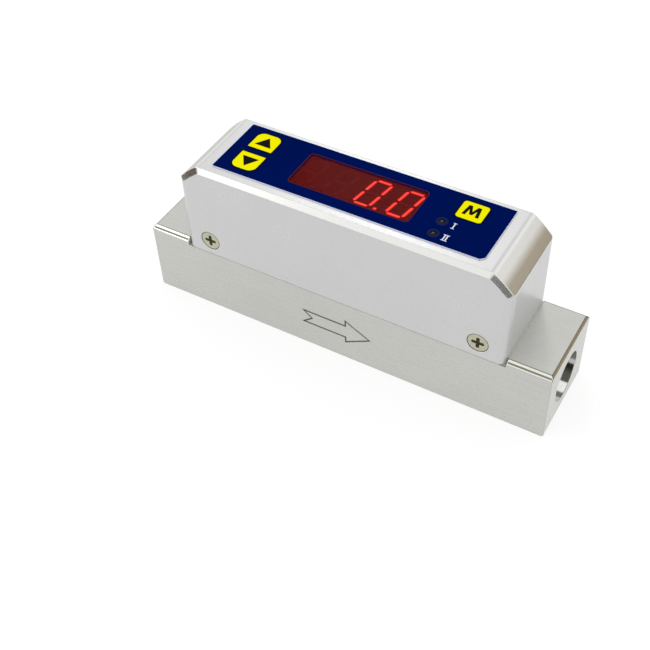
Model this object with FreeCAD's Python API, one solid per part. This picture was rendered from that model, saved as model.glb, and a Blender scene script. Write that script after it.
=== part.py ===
import FreeCAD, Part
import math
import os

# Gas mass flow meter: a machined metal block with a threaded gas port in each end, and a
# sloped-end cover over it that holds the display, the keys, the boards and the data socket.
# Millimetres. X runs along the gas flow, Y from the front to the back, Z up.
# The origin is the centre of the block's underside.

V = FreeCAD.Vector

# Machined block
BODY_LENGTH = 100.0
BODY_WIDTH = 21.0
DECK_LENGTH = 10.25           # of the block's bare end beyond the cover
DECK_HEIGHT = 18.7            # top of the block's two bare ends
DECK_EDGE_CHAMFER = 1.0       # of a deck's long edges
DECK_END_CHAMFER = 0.5
FOOT_CHAMFER = 0.3
SEAT_DROP = 1.65              # of the ledge that the cover's rim stands on, below the decks
PLINTH_CLEARANCE = 0.1        # between the plinth and the cover's walls
DECK_CLEARANCE = 0.08         # between a deck block and the cover's end wall

# Gas path
PORT_AXIS_HEIGHT = 9.0
PORT_RECESS_DIAMETER = 11.7   # smooth mouth, for the fitting's sealing ring
PORT_RECESS_DEPTH = 2.2
PORT_MOUTH_MARGIN = 0.1       # of the mouth's chamfer, all round
PORT_THREAD_DIAMETER = 9.728  # G 1/8 major diameter
PORT_THREAD_DEPTH = 8.8       # below the recess
CHANNEL_DIAMETER = 6.4
CONDITIONER_SEAT_MARGIN = 0.95  # of the conditioner's seat beyond the channel, all round
CONDITIONER_SEAT_DEPTH = 4.2

# Flow arrow cut in the block's front face
ARROW_TAIL_X = -9.1
ARROW_NOTCH_X = -6.9
ARROW_NECK_X = 1.8
ARROW_TIP_X = 7.9
ARROW_AXIS_HEIGHT = 8.45
ARROW_SHAFT_HALF = 1.8
ARROW_HEAD_HALF = 3.35
ARROW_LINE_WIDTH = 0.36
ARROW_LINE_DEPTH = 0.12

# Tapped holes in the underside
MOUNT_THREAD_DIAMETER = 3.0
MOUNT_THREAD_DEPTH = 3.4
MOUNT_SPACING = 50.0

# Cover
COVER_HEIGHT = 24.1           # rim to flat top
COVER_WALL = 2.0
COVER_CORNER_RADIUS = 1.8
SLOPE_RUN = 4.9
SLOPE_DROP = 4.55
SLOPE_CROWN = 0.2             # how far a sloped end swells out from flat
SHOULDER_RADIUS = 1.8         # where the flat top turns down into a sloped end
SLOPE_FOOT_RADIUS = 1.0
BEVEL_SIDE = 0.65             # the long top edges' bevel, measured inwards
BEVEL_DROP = 1.35             # and downwards
INNER_CORNER_RADIUS = 0.8

# Countersunk cover screws
SCREW_END_DISTANCE = 6.5      # from the cover's end
SCREW_RISE = 3.9              # above the ledge
SCREW_DIAMETER = 2.5
SCREW_LENGTH = 6.0
SCREW_HEAD_RIM = 1.1          # of the head beyond the shank, all round
SCREW_HEAD_SUNK = 0.08        # how far the head lies below the cover's face
SCREW_HEAD_GAP = 0.15         # round the head in its countersink
SCREW_HOLE_CLEARANCE = 0.1
THREAD_CLEARANCE = 0.04       # round any screw in its tapped hole
CROSS_WIDTH = 0.7
CROSS_LENGTH = 2.5
CROSS_DEPTH = 1.0

# Front film and what shows through it
PANEL_Y = 0.35                # of the film's middle, behind the cover's
FILM_END_MARGIN = 2.95        # of the flat top beyond the film's ends
FILM_SIDE_MARGIN = 2.2        # of the block's width beyond its long edges
FILM_THICKNESS = 0.25
FILM_CORNER_RADIUS = 0.3
FILM_CUT_CORNER = 0.9
KEY_LENGTH = 6.5
KEY_WIDTH = 6.0
KEY_EMBOSS = 0.1
KEY_ROUND_RADIUS = 2.0        # the two outer corners of an arrow key
KEY_SQUARE_RADIUS = 0.15
KEY_HALF_SPACING = 3.7       # across, from the middle to an arrow key or the mode key
MODE_KEY_LENGTH = 6.3
MODE_KEY_RADIUS = 1.0
ARROW_KEYS_INSET = 6.2        # from the film's left end
MODE_KEY_INSET = 7.9          # from its right end
WINDOW_END_MARGIN = 1.09      # of the display beyond the window's ends
WINDOW_SHIFT = 0.45           # of the window's middle, right of the display's
WINDOW_WIDTH = 10.4
WINDOW_RADIUS = 0.8
INDICATOR_INSET = 12.15       # from the film's right end
INDICATOR_EDGE = 2.6          # from its front edge to the nearer lamp
INDICATOR_SPACING = 4.0
INDICATOR_WINDOW_DIAMETER = 1.9
KEY_APERTURE_MARGIN = 0.25    # of the cover's opening round each key

# Red filter and four-digit display
FILTER_THICKNESS = 0.5
FILTER_CLEARANCE = 0.2
DISPLAY_LEFT_INSET = 15.66    # from the film's left end
DISPLAY_LAMP_GAP = 5.51       # from the display to the lamps' middles
DISPLAY_SHIFT = 0.35          # of its middle, behind the film's
DISPLAY_WIDTH = 14.0
DISPLAY_HEIGHT = 7.2
DIGIT_COUNT = 4
DIGIT_HEIGHT = 9.14
DIGIT_SPACE = 3.02            # between two digits
DIGIT_SLANT_DEG = 9.5
SEGMENT_WIDTH = 0.85
SEGMENT_GAP = 0.3
SEGMENT_DEPTH = 0.6
POINT_SIDE = 0.85
POINT_SPACE = 0.6             # between a digit and its decimal point
DISPLAY_PIN_PITCH = 2.54
DISPLAY_PIN_ROW = 10.16
DISPLAY_ROW_PINS = 6
DISPLAY_PIN_WIDTH = 0.5
DISPLAY_PIN_LENGTH = 2.4

# Boards, from the display down to the plinth
BOARD_THICKNESS = 1.6
BOARD_GAP = 3.0               # between the display board and the main board
BOARD_SIDE_CLEARANCE = 0.4    # to the cover's walls
BOARD_LEFT_CLEARANCE = 8.45   # room for the socket
BOARD_RIGHT_CLEARANCE = 1.75
BOARD_CORNER_RADIUS = 1.0
STANDOFF_HEIGHT = 4.0
STANDOFF_FLATS = 4.0
STANDOFF_STUD_DIAMETER = 2.5
STANDOFF_STUD_LENGTH = 3.0
STANDOFF_OFFSET = 4.5         # beyond the sensor carrier's ends
BOARD_SCREW_DIAMETER = 2.0
BOARD_SCREW_HEAD_RIM = 0.9
BOARD_SCREW_HEAD_HEIGHT = 1.3
BOARD_SCREW_GRIP = 2.0        # how far a board screw reaches into its standoff
BOARD_HOLE_CLEARANCE = 0.15
PIN_HOLE_CLEARANCE = 0.08     # round a square pin in its board

# Key switches
SWITCH_SIDE = 6.0
SWITCH_HEIGHT = 3.5
SWITCH_PLATE = 0.3
SWITCH_WELL_DEPTH = 1.6
STEM_DIAMETER = 3.4
STEM_CLEARANCE = 0.1
STEM_SEAT_GAP = 0.4           # under the stem, more than the key's travel
STEM_TOP_GAP = 0.1            # between the stem and the film
STEM_CHAMFER = 0.2

# Indicator lamps
LAMP_DIAMETER = 3.0
LAMP_CHAMFER = 0.8
LAMP_FLANGE_RIM = 0.4
LAMP_FLANGE_HEIGHT = 1.0
LAMP_HEIGHT = 5.3
LAMP_TOP_GAP = 0.2
LAMP_HOLE_CLEARANCE = 0.15
LAMP_LEAD_WIDTH = 0.5
LAMP_LEAD_PITCH = 1.27
COLLAR_WALL = 0.7             # of the collar under a lamp

# Sensor in the gas path
CARRIER_LENGTH = 30.0
CARRIER_WIDTH = 13.0
CARRIER_THICKNESS = 2.0
CARRIER_CLEARANCE = 0.15
CARRIER_CORNER_RADIUS = 1.5
SENSOR_BORE_DIAMETER = 9.8
SENSOR_BORE_OVERCUT = 0.9     # how far the bore reaches below the channel's crown
STEM_RUN_CLEARANCE = 0.1      # round the carrier's stem in its bore
SEAL_WIDTH = 1.45             # of the square-cut ring's section
SEAL_CLEARANCE = 0.02
SEAL_HEIGHT_CLEARANCE = 0.1   # above and below the ring in its groove
SEAL_RISE = 3.5               # of the ring's middle above the channel's crown
BLADE_LENGTH = 5.0
BLADE_THICKNESS = 0.8
BLADE_REACH = 2.0             # below the gas path's axis
CHIP_SIDE = 2.5
CHIP_THICKNESS = 0.4
SENSOR_BOARD_MARGIN = 0.5
SENSOR_BOARD_THICKNESS = 1.0
SENSOR_SCREW_INSET = 2.4      # from the carrier's ends
SENSOR_SCREW_REACH = 6.0
SENSOR_HEADER_Y = 3.6

# Flow conditioner and the ring that keeps it in
CONDITIONER_THICKNESS = 3.0
CONDITIONER_CLEARANCE = 0.05
CELL_FLATS = 1.05
CELL_WALL = 0.3
CELL_RINGS = 2
RING_THICKNESS = 0.8
RING_GROOVE_DEPTH = 0.4
RING_WIDTH = 1.1
RING_OPENING = 2.6
RING_CLEARANCE = 0.05

# Pin headers and parts on the main board
HEADER_PITCH = 2.54
HEADER_WIDTH = 2.5
HEADER_PIN_WIDTH = 0.6
SENSOR_HEADER_PINS = 6
BOARD_HEADER_PINS = 6
BOARD_HEADER_KEY_GAP = 9.7    # from the arrow keys' middles to the left header's
BOARD_HEADER_EDGE = 1.5       # from the board's edge
CONTROLLER_SIDE = 7.0
CONTROLLER_HEIGHT = 1.4
CONTROLLER_X = -9.0
DRIVER_LENGTH = 5.0
DRIVER_WIDTH = 4.0
DRIVER_HEIGHT = 1.5
DRIVER_X = 29.0
COIL_SIDE = 5.2
COIL_HEIGHT = 2.4
COIL_X = 12.5
CAPACITOR_DIAMETER = 4.0
CAPACITOR_HEIGHT = 2.0
CAPACITORS_X = (0.0, 5.0)
CAPACITOR_EDGE = 2.9          # from the board's edge to a can's middle
CHIP_TOP_CHAMFER = 0.15

# Data and power socket in the left end of the cover
SOCKET_RISE = 0.2             # of its axis above the main board
SOCKET_BORE_DIAMETER = 9.5
SOCKET_WALL = 0.55
SOCKET_FLANGE_RIM = 0.6
SOCKET_FLANGE_THICKNESS = 1.2
SOCKET_FLANGE_CHAMFER = 0.3
SOCKET_LENGTH = 7.5           # behind the cover's end face
SOCKET_HOLE_CLEARANCE = 0.1
SOCKET_NUT_RIM = 0.45
SOCKET_NUT_THICKNESS = 1.8
SOCKET_NUT_SLOT_COUNT = 4
SOCKET_NUT_SLOT_WIDTH = 1.4
SOCKET_NUT_SLOT_DEPTH = 0.3
PLUG_GAP = 1.15               # between the insert and the shell, for the plug's collar
WAFER_THICKNESS = 2.0
INSERT_RECESS = 0.8           # the insert's face below the flange's
WAFER_CLEARANCE = 0.05
CONTACT_WIDTH = 0.6
CONTACT_HOLE_FLATS = 1.0
CONTACT_RECESS = 0.7
CONTACT_TAIL = 1.6
CONTACT_ROWS = ((1.9, (-2.2, 0.0, 2.2)), (-0.9, (-2.6, 0.0, 2.6)), (-2.6, (-1.1, 1.1)))
KEYWAY_WIDTH = 1.9
KEYWAY_DEPTH = 0.7
SOCKET_BOARD_THICKNESS = 0.8
SOCKET_BOARD_WIDTH = 12.0
SOCKET_BOARD_HALF_HEIGHT = 5.4
LINK_PINS = 8
LINK_SPACING = 1.27
LINK_PIN_WIDTH = 0.4
LINK_PIN_REACH = 0.2          # of the pins past the socket's board
LINK_HEIGHT = 2.0
LINK_DEPTH = 2.2
LINK_INSET = 0.2

# Levels and places worked out from the sizes above
SEAT_HEIGHT = DECK_HEIGHT - SEAT_DROP
COVER_LENGTH = BODY_LENGTH - 2 * DECK_LENGTH
COVER_TOP = SEAT_HEIGHT + COVER_HEIGHT
COVER_ROOF = COVER_TOP - COVER_WALL
INNER_HALF_LENGTH = COVER_LENGTH / 2 - COVER_WALL
INNER_HALF_WIDTH = BODY_WIDTH / 2 - COVER_WALL
DECK_START = COVER_LENGTH / 2 + DECK_CLEARANCE
FILTER_Z = COVER_TOP - FILTER_THICKNESS
DISPLAY_Z = FILTER_Z - DISPLAY_HEIGHT
DISPLAY_BOARD_Z = DISPLAY_Z - BOARD_THICKNESS
MAIN_BOARD_TOP = DISPLAY_BOARD_Z - BOARD_GAP
MAIN_BOARD_Z = MAIN_BOARD_TOP - BOARD_THICKNESS
PLINTH_TOP = MAIN_BOARD_Z - STANDOFF_HEIGHT
PLINTH_HALF_WIDTH = INNER_HALF_WIDTH - PLINTH_CLEARANCE
CARRIER_Z = PLINTH_TOP - CARRIER_THICKNESS
SENSOR_BOARD_TOP = PLINTH_TOP + SENSOR_BOARD_THICKNESS
CHANNEL_CROWN = PORT_AXIS_HEIGHT + CHANNEL_DIAMETER / 2
SEAL_Z = CHANNEL_CROWN + SEAL_RISE
CONDITIONER_SEAT_DIAMETER = CHANNEL_DIAMETER + 2 * CONDITIONER_SEAT_MARGIN
PORT_THREAD_START = BODY_LENGTH / 2 - PORT_RECESS_DEPTH
SEAT_X = -PORT_THREAD_START + PORT_THREAD_DEPTH + CONDITIONER_SEAT_DEPTH
RING_X = SEAT_X - CONDITIONER_THICKNESS - RING_CLEARANCE - RING_THICKNESS
RING_GROOVE_DIAMETER = CONDITIONER_SEAT_DIAMETER + 2 * RING_GROOVE_DEPTH
SCREW_HEIGHT = SEAT_HEIGHT + SCREW_RISE
SCREW_X = COVER_LENGTH / 2 - SCREW_END_DISTANCE
SCREW_HEAD_RADIUS = SCREW_DIAMETER / 2 + SCREW_HEAD_RIM
FILM_LENGTH = COVER_LENGTH - 2 * SLOPE_RUN - 2 * FILM_END_MARGIN
FILM_WIDTH = BODY_WIDTH - 2 * FILM_SIDE_MARGIN
ARROW_KEYS_X = -FILM_LENGTH / 2 + ARROW_KEYS_INSET
MODE_KEY_X = FILM_LENGTH / 2 - MODE_KEY_INSET
KEYS = {
    "up": (ARROW_KEYS_X, PANEL_Y + KEY_HALF_SPACING, KEY_LENGTH),
    "down": (ARROW_KEYS_X, PANEL_Y - KEY_HALF_SPACING, KEY_LENGTH),
    "mode": (MODE_KEY_X, PANEL_Y + KEY_HALF_SPACING, MODE_KEY_LENGTH),
}
INDICATOR_X = FILM_LENGTH / 2 - INDICATOR_INSET
INDICATOR_FRONT_Y = PANEL_Y - FILM_WIDTH / 2 + INDICATOR_EDGE
INDICATORS_Y = (INDICATOR_FRONT_Y + INDICATOR_SPACING, INDICATOR_FRONT_Y)
DISPLAY_LEFT_X = -FILM_LENGTH / 2 + DISPLAY_LEFT_INSET
DISPLAY_LENGTH = INDICATOR_X - DISPLAY_LAMP_GAP - DISPLAY_LEFT_X
DISPLAY_X = DISPLAY_LEFT_X + DISPLAY_LENGTH / 2
DISPLAY_Y = PANEL_Y + DISPLAY_SHIFT
DIGIT_PITCH = DISPLAY_LENGTH / DIGIT_COUNT
DIGIT_WIDTH = DIGIT_PITCH - DIGIT_SPACE
POINT_OFFSET = (DIGIT_WIDTH + POINT_SIDE) / 2 + POINT_SPACE
WINDOW_X = DISPLAY_X + WINDOW_SHIFT
WINDOW_LENGTH = DISPLAY_LENGTH - 2 * WINDOW_END_MARGIN
LAMP_FOOT = COVER_TOP - LAMP_TOP_GAP - LAMP_HEIGHT
LAMP_FLANGE_DIAMETER = LAMP_DIAMETER + 2 * LAMP_FLANGE_RIM
BOARD_LEFT_X = -INNER_HALF_LENGTH + BOARD_LEFT_CLEARANCE
BOARD_RIGHT_X = INNER_HALF_LENGTH - BOARD_RIGHT_CLEARANCE
BOARD_HALF_WIDTH = INNER_HALF_WIDTH - BOARD_SIDE_CLEARANCE
BOARD_FIXING_X = CARRIER_LENGTH / 2 + STANDOFF_OFFSET
BOARD_HEADER_X = -ARROW_KEYS_X - BOARD_HEADER_KEY_GAP
BOARD_HEADER_Y = BOARD_HALF_WIDTH - BOARD_HEADER_EDGE
SENSOR_SCREW_X = CARRIER_LENGTH / 2 - SENSOR_SCREW_INSET
SOCKET_Z = MAIN_BOARD_TOP + SOCKET_RISE
SOCKET_FACE_X = -COVER_LENGTH / 2
SOCKET_REAR_X = SOCKET_FACE_X + SOCKET_LENGTH
SOCKET_BARREL_DIAMETER = SOCKET_BORE_DIAMETER + 2 * SOCKET_WALL
SOCKET_BOARD_X = SOCKET_REAR_X + CONTACT_TAIL - SOCKET_BOARD_THICKNESS
INSERT_DIAMETER = SOCKET_BORE_DIAMETER - 2 * PLUG_GAP
INSERT_FACE_X = SOCKET_FACE_X - SOCKET_FLANGE_THICKNESS + INSERT_RECESS
WAFER_X = SOCKET_REAR_X - WAFER_THICKNESS
LINK_Z = MAIN_BOARD_TOP + LINK_HEIGHT / 2
ALONG = (1, 0, 0)
OVERCUT = 1.0                 # how far a cutting tool runs past the face that it opens


def box(low, high):
    """A block between two corners."""
    size = [b - a for a, b in zip(low, high)]
    return Part.makeBox(*size, V(*low))


def rod(diameter, start, length, axis=(0, 0, 1)):
    """A cylinder from its start point along an axis."""
    return Part.makeCylinder(diameter / 2, length, V(*start), V(*axis))


def tube(outer, inner, start, length, axis=(0, 0, 1)):
    """A plain tube."""
    bore_start = [s - OVERCUT * a for s, a in zip(start, axis)]
    return rod(outer, start, length, axis).cut(rod(inner, bore_start, length + 2 * OVERCUT, axis))


def fuse(shapes):
    """One solid from several that touch."""
    joined = shapes[0].fuse(shapes[1:]) if len(shapes) > 1 else shapes[0]
    return joined.removeSplitter()


def rounded_wire(points, radii, place):
    """A closed outline with each corner rounded to its own radius; place maps (u, v) to space."""
    corners = []
    count = len(points)
    for i, (point, radius) in enumerate(zip(points, radii)):
        p = V(point[0], point[1], 0)
        back = V(*points[i - 1], 0).sub(p).normalize()
        ahead = V(*points[(i + 1) % count], 0).sub(p).normalize()
        half = back.getAngle(ahead) / 2
        if radius <= 0:
            corners.append((p, None, p))
            continue
        reach = radius / math.tan(half)
        middle = back.add(ahead).normalize().multiply(radius / math.sin(half) - radius)
        corners.append((p.add(back.multiply(reach)), p.add(middle), p.add(ahead.multiply(reach))))
    edges = []
    for i, (start, middle, end) in enumerate(corners):
        if middle is not None:
            edges.append(Part.Arc(place(start), place(middle), place(end)).toShape())
        following = corners[(i + 1) % count][0]
        if end.distanceToPoint(following) > Part.Precision.confusion():
            edges.append(Part.LineSegment(place(end), place(following)).toShape())
    return Part.Wire(edges)


def plan(z):
    """Places an outline in a level plane."""
    return lambda p: V(p.x, p.y, z)


def elevation(y):
    """Places an outline in a plane across Y, with v as height."""
    return lambda p: V(p.x, y, p.y)


def sharp_wire(points, place):
    """A closed outline with sharp corners."""
    return rounded_wire(points, (0,) * len(points), place)


def rectangle(x, y, length, width):
    """The corners of a rectangle round its middle, anticlockwise from the lowest."""
    a, b = length / 2, width / 2
    return [(x - a, y - b), (x + a, y - b), (x + a, y + b), (x - a, y + b)]


def hexagon(u, v, flats):
    """The corners of a hexagon with a corner on the u axis."""
    corner = flats / math.sqrt(3)
    sixth = math.pi / 3
    return [(u + corner * math.cos(i * sixth), v + corner * math.sin(i * sixth)) for i in range(6)]


def plate(x, y, length, width, radius, z, thickness):
    """A level plate with rounded corners."""
    radii = radius if isinstance(radius, tuple) else (radius,) * 4
    outline = rounded_wire(rectangle(x, y, length, width), radii, plan(z))
    return Part.Face(outline).extrude(V(0, 0, thickness))


def prism(outline, direction):
    """A closed outline extruded along a vector."""
    return Part.Face(outline).extrude(V(*direction))


def thread_hole(diameter):
    """The bore of a tapped hole for a screw of this diameter."""
    return diameter + 2 * THREAD_CLEARANCE


def screw_places():
    """Where the cover screws go in: x, and which side (-1 front, 1 back)."""
    return [(x * SCREW_X, side) for side in (-1, 1) for x in (-1, 1)]


def row(count, pitch, middle=0.0):
    """Evenly spaced places about a middle."""
    return [middle + (i - (count - 1) / 2) * pitch for i in range(count)]


def deck_block():
    """The whole block up to its decks, with its long top edges and its ends bevelled."""
    half_length, half_width = BODY_LENGTH / 2, BODY_WIDTH / 2
    e = DECK_EDGE_CHAMFER
    section = [
        (-half_width, 0), (half_width, 0), (half_width, DECK_HEIGHT - e), (half_width - e, DECK_HEIGHT),
        (-half_width + e, DECK_HEIGHT), (-half_width, DECK_HEIGHT - e),
    ]
    across = sharp_wire(section, lambda p: V(-half_length, p.x, p.y))
    block = prism(across, (BODY_LENGTH, 0, 0))
    c, f = DECK_END_CHAMFER, FOOT_CHAMFER
    side = [
        (-half_length + f, 0), (half_length - f, 0), (half_length, f), (half_length, DECK_HEIGHT - c),
        (half_length - c, DECK_HEIGHT), (-half_length + c, DECK_HEIGHT), (-half_length, DECK_HEIGHT - c),
        (-half_length, f),
    ]
    along = sharp_wire(side, elevation(-half_width))
    return block.common(prism(along, (0, BODY_WIDTH, 0)))


def cover_rebate():
    """What is milled away so that the cover can stand on its ledge, and the plinth left inside it."""
    half_width = BODY_WIDTH / 2 + OVERCUT
    trench = box((-DECK_START, -half_width, SEAT_HEIGHT), (DECK_START, half_width, COVER_TOP))
    plinth_half_length = INNER_HALF_LENGTH - PLINTH_CLEARANCE
    plinth = plate(0, 0, 2 * plinth_half_length, 2 * PLINTH_HALF_WIDTH, INNER_CORNER_RADIUS,
                   SEAT_HEIGHT, PLINTH_TOP - SEAT_HEIGHT)
    return trench, plinth


def gas_path():
    """The through channel, both stepped ports, and the conditioner's seat and ring groove, as cutting tools."""
    half, z = BODY_LENGTH / 2, PORT_AXIS_HEIGHT
    tools = [rod(CHANNEL_DIAMETER, (-half, 0, z), BODY_LENGTH, ALONG)]
    recess, mouth = PORT_RECESS_DIAMETER / 2, PORT_MOUTH_MARGIN
    for side in (-1, 1):
        face, inward = V(side * half, 0, z), V(-side, 0, 0)
        tools.append(Part.makeCone(recess + mouth, recess, mouth, face, inward))
        tools.append(Part.makeCylinder(recess, PORT_RECESS_DEPTH, face, inward))
        thread_start = V(side * PORT_THREAD_START, 0, z)
        tools.append(Part.makeCylinder(PORT_THREAD_DIAMETER / 2, PORT_THREAD_DEPTH, thread_start, inward))
    tools.append(rod(CONDITIONER_SEAT_DIAMETER, (SEAT_X - CONDITIONER_SEAT_DEPTH, 0, z),
                     CONDITIONER_SEAT_DEPTH, ALONG))
    tools.append(rod(RING_GROOVE_DIAMETER, (RING_X - RING_CLEARANCE, 0, z),
                     RING_THICKNESS + 2 * RING_CLEARANCE, ALONG))
    return tools


def arrow_line():
    """The outline of the flow arrow as a shallow groove in the front face."""
    z = ARROW_AXIS_HEIGHT
    points = [
        (ARROW_TAIL_X, z + ARROW_SHAFT_HALF), (ARROW_NOTCH_X, z), (ARROW_TAIL_X, z - ARROW_SHAFT_HALF),
        (ARROW_NECK_X, z - ARROW_SHAFT_HALF), (ARROW_NECK_X, z - ARROW_HEAD_HALF), (ARROW_TIP_X, z),
        (ARROW_NECK_X, z + ARROW_HEAD_HALF), (ARROW_NECK_X, z + ARROW_SHAFT_HALF),
    ]
    middle = sharp_wire(points, elevation(-BODY_WIDTH / 2))
    # join=2 keeps the corners sharp
    offsets = [middle.makeOffset2D(side * ARROW_LINE_WIDTH / 2, join=2) for side in (1, -1)]
    prisms = [prism(wire, (0, ARROW_LINE_DEPTH, 0)) for wire in offsets]
    wide, narrow = sorted(prisms, key=lambda s: -s.Volume)
    return wide.cut(narrow)


def flow_body():
    """The machined block: decks, plinth, gas path, sensor pocket and every tapped hole."""
    trench, plinth = cover_rebate()
    body = deck_block().cut(trench).fuse(plinth).removeSplitter()
    tools = gas_path()
    c = CARRIER_CLEARANCE
    tools.append(plate(0, 0, CARRIER_LENGTH + 2 * c, CARRIER_WIDTH + 2 * c, CARRIER_CORNER_RADIUS + c,
                       CARRIER_Z, CARRIER_THICKNESS + OVERCUT))
    bore_floor = CHANNEL_CROWN - SENSOR_BORE_OVERCUT
    tools.append(rod(SENSOR_BORE_DIAMETER, (0, 0, bore_floor), CARRIER_Z - bore_floor))
    screw_floor = SENSOR_BOARD_TOP - SENSOR_SCREW_REACH - THREAD_CLEARANCE
    stud_floor = PLINTH_TOP - STANDOFF_STUD_LENGTH - THREAD_CLEARANCE
    for side in (-1, 1):
        tools.append(rod(thread_hole(BOARD_SCREW_DIAMETER), (side * SENSOR_SCREW_X, 0, screw_floor),
                         CARRIER_Z - screw_floor))
        tools.append(rod(thread_hole(STANDOFF_STUD_DIAMETER), (side * BOARD_FIXING_X, 0, stud_floor),
                         PLINTH_TOP - stud_floor))
    tip = BODY_WIDTH / 2 - SCREW_HEAD_SUNK - SCREW_LENGTH - THREAD_CLEARANCE
    for x, side in screw_places():
        tools.append(rod(thread_hole(SCREW_DIAMETER), (x, side * tip, SCREW_HEIGHT),
                         PLINTH_HALF_WIDTH - tip, (0, side, 0)))
    for x in row(2, MOUNT_SPACING):
        tools.append(rod(MOUNT_THREAD_DIAMETER, (x, 0, 0), MOUNT_THREAD_DEPTH))
    tools.append(arrow_line())
    return body.cut(tools)


def cover_profile(y, end_inset, roof_inset, corners=None):
    """The cover's side view in the plane at y, set in at its ends and under its roof and slopes."""
    half, top = COVER_LENGTH / 2, COVER_TOP
    slope = math.hypot(SLOPE_RUN, SLOPE_DROP)
    steep = SLOPE_DROP / SLOPE_RUN
    # a point of the sloped line after moving in by roof_inset
    foot_x = half - roof_inset * SLOPE_DROP / slope
    foot_z = top - SLOPE_DROP - roof_inset * SLOPE_RUN / slope
    end_x, roof_z = half - end_inset, top - roof_inset
    end_z = foot_z + (foot_x - end_x) * steep
    roof_x = foot_x - (roof_z - foot_z) / steep
    # the crown stands out square to the slope, at its middle
    crown_x = (end_x + roof_x) / 2 + SLOPE_CROWN * SLOPE_DROP / slope
    crown_z = (end_z + roof_z) / 2 + SLOPE_CROWN * SLOPE_RUN / slope
    points = [
        (-end_x, SEAT_HEIGHT), (end_x, SEAT_HEIGHT), (end_x, end_z), (crown_x, crown_z), (roof_x, roof_z),
        (-roof_x, roof_z), (-crown_x, crown_z), (-end_x, end_z),
    ]
    shoulder = max(SHOULDER_RADIUS - roof_inset, INNER_CORNER_RADIUS)
    foot = SLOPE_FOOT_RADIUS
    # the crown's two chords meet in an arc as large as half a chord allows
    chord = math.hypot(end_x - crown_x, crown_z - end_z)
    turn = 2 * math.atan(2 * SLOPE_CROWN / chord)
    crown = 0.5 * chord / math.tan(turn / 2)
    radii = corners or (0, 0, foot, crown, shoulder, shoulder, crown, foot)
    return rounded_wire(points, radii, elevation(y))


def cover_outside():
    """The cover as a solid: sloped ends, bevelled long top edges, rounded upright corners."""
    face, flat = BODY_WIDTH / 2, BODY_WIDTH / 2 - BEVEL_SIDE
    middle = prism(cover_profile(-flat, 0, 0), (0, 2 * flat, 0))
    bevels = [
        Part.makeLoft([cover_profile(side * flat, 0, 0), cover_profile(side * face, 0, BEVEL_DROP)], True, True)
        for side in (-1, 1)
    ]
    rounded = plate(0, 0, COVER_LENGTH, BODY_WIDTH, COVER_CORNER_RADIUS, SEAT_HEIGHT, COVER_HEIGHT)
    return fuse([middle] + bevels).common(rounded)


def cover_inside():
    """The hollow of the cover, open at the rim."""
    half_width = INNER_HALF_WIDTH
    sharp = (0,) * 8
    hollow = prism(cover_profile(-half_width, COVER_WALL, COVER_WALL, sharp), (0, 2 * half_width, 0))
    rounded = plate(0, 0, 2 * INNER_HALF_LENGTH, 2 * half_width, INNER_CORNER_RADIUS,
                    SEAT_HEIGHT, COVER_HEIGHT)
    return hollow.common(rounded)


def countersink(x, side):
    """The hole for one cover screw, from the cover's face inwards."""
    face = side * BODY_WIDTH / 2
    wide = SCREW_HEAD_RADIUS + SCREW_HEAD_GAP
    narrow = SCREW_DIAMETER / 2 + SCREW_HOLE_CLEARANCE
    inward = V(0, -side, 0)
    cone = Part.makeCone(wide, narrow, wide - narrow, V(x, face, SCREW_HEIGHT), inward)
    through = Part.makeCylinder(narrow, COVER_WALL + OVERCUT, V(x, face, SCREW_HEIGHT), inward)
    return [cone, through]


def cover():
    """The cover shell with its openings for the display, keys, lamps, screws and socket."""
    shell = cover_outside().cut(cover_inside())
    roof, depth = COVER_ROOF - OVERCUT, COVER_WALL + 2 * OVERCUT
    c = FILTER_CLEARANCE
    tools = [plate(DISPLAY_X, DISPLAY_Y, DISPLAY_LENGTH + 2 * c, DISPLAY_WIDTH + 2 * c, c, roof, depth)]
    m = KEY_APERTURE_MARGIN
    for x, y, length in KEYS.values():
        tools.append(plate(x, y, length + 2 * m, KEY_WIDTH + 2 * m, MODE_KEY_RADIUS, roof, depth))
    for y in INDICATORS_Y:
        tools.append(rod(LAMP_DIAMETER + 2 * LAMP_HOLE_CLEARANCE, (INDICATOR_X, y, roof), depth))
    for x, side in screw_places():
        tools.extend(countersink(x, side))
    tools.append(rod(SOCKET_BARREL_DIAMETER + 2 * SOCKET_HOLE_CLEARANCE,
                     (SOCKET_FACE_X - OVERCUT, 0, SOCKET_Z), COVER_WALL + 2 * OVERCUT, ALONG))
    return shell.cut(tools)


def cross_recess(point, inward):
    """The cross slot of a screw head, cut inwards from the middle of its face."""
    w, l = CROSS_WIDTH / 2, CROSS_LENGTH / 2
    cross = fuse([box((-a, -b, -OVERCUT), (a, b, CROSS_DEPTH)) for a, b in ((w, l), (l, w))])
    turn = FreeCAD.Rotation(V(0, 0, 1), V(*inward))
    cross.Placement = FreeCAD.Placement(V(*point), turn)
    return cross


def cover_screw(x, side):
    """One countersunk cross-head screw in the cover's side."""
    face = side * (BODY_WIDTH / 2 - SCREW_HEAD_SUNK)
    inward = V(0, -side, 0)
    head, shank = SCREW_HEAD_RADIUS, SCREW_DIAMETER / 2
    cone = Part.makeCone(head, shank, head - shank, V(x, face, SCREW_HEIGHT), inward)
    body = Part.makeCylinder(shank, SCREW_LENGTH, V(x, face, SCREW_HEIGHT), inward)
    return fuse([cone, body]).cut(cross_recess((x, face, SCREW_HEIGHT), (0, -side, 0)))


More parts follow.
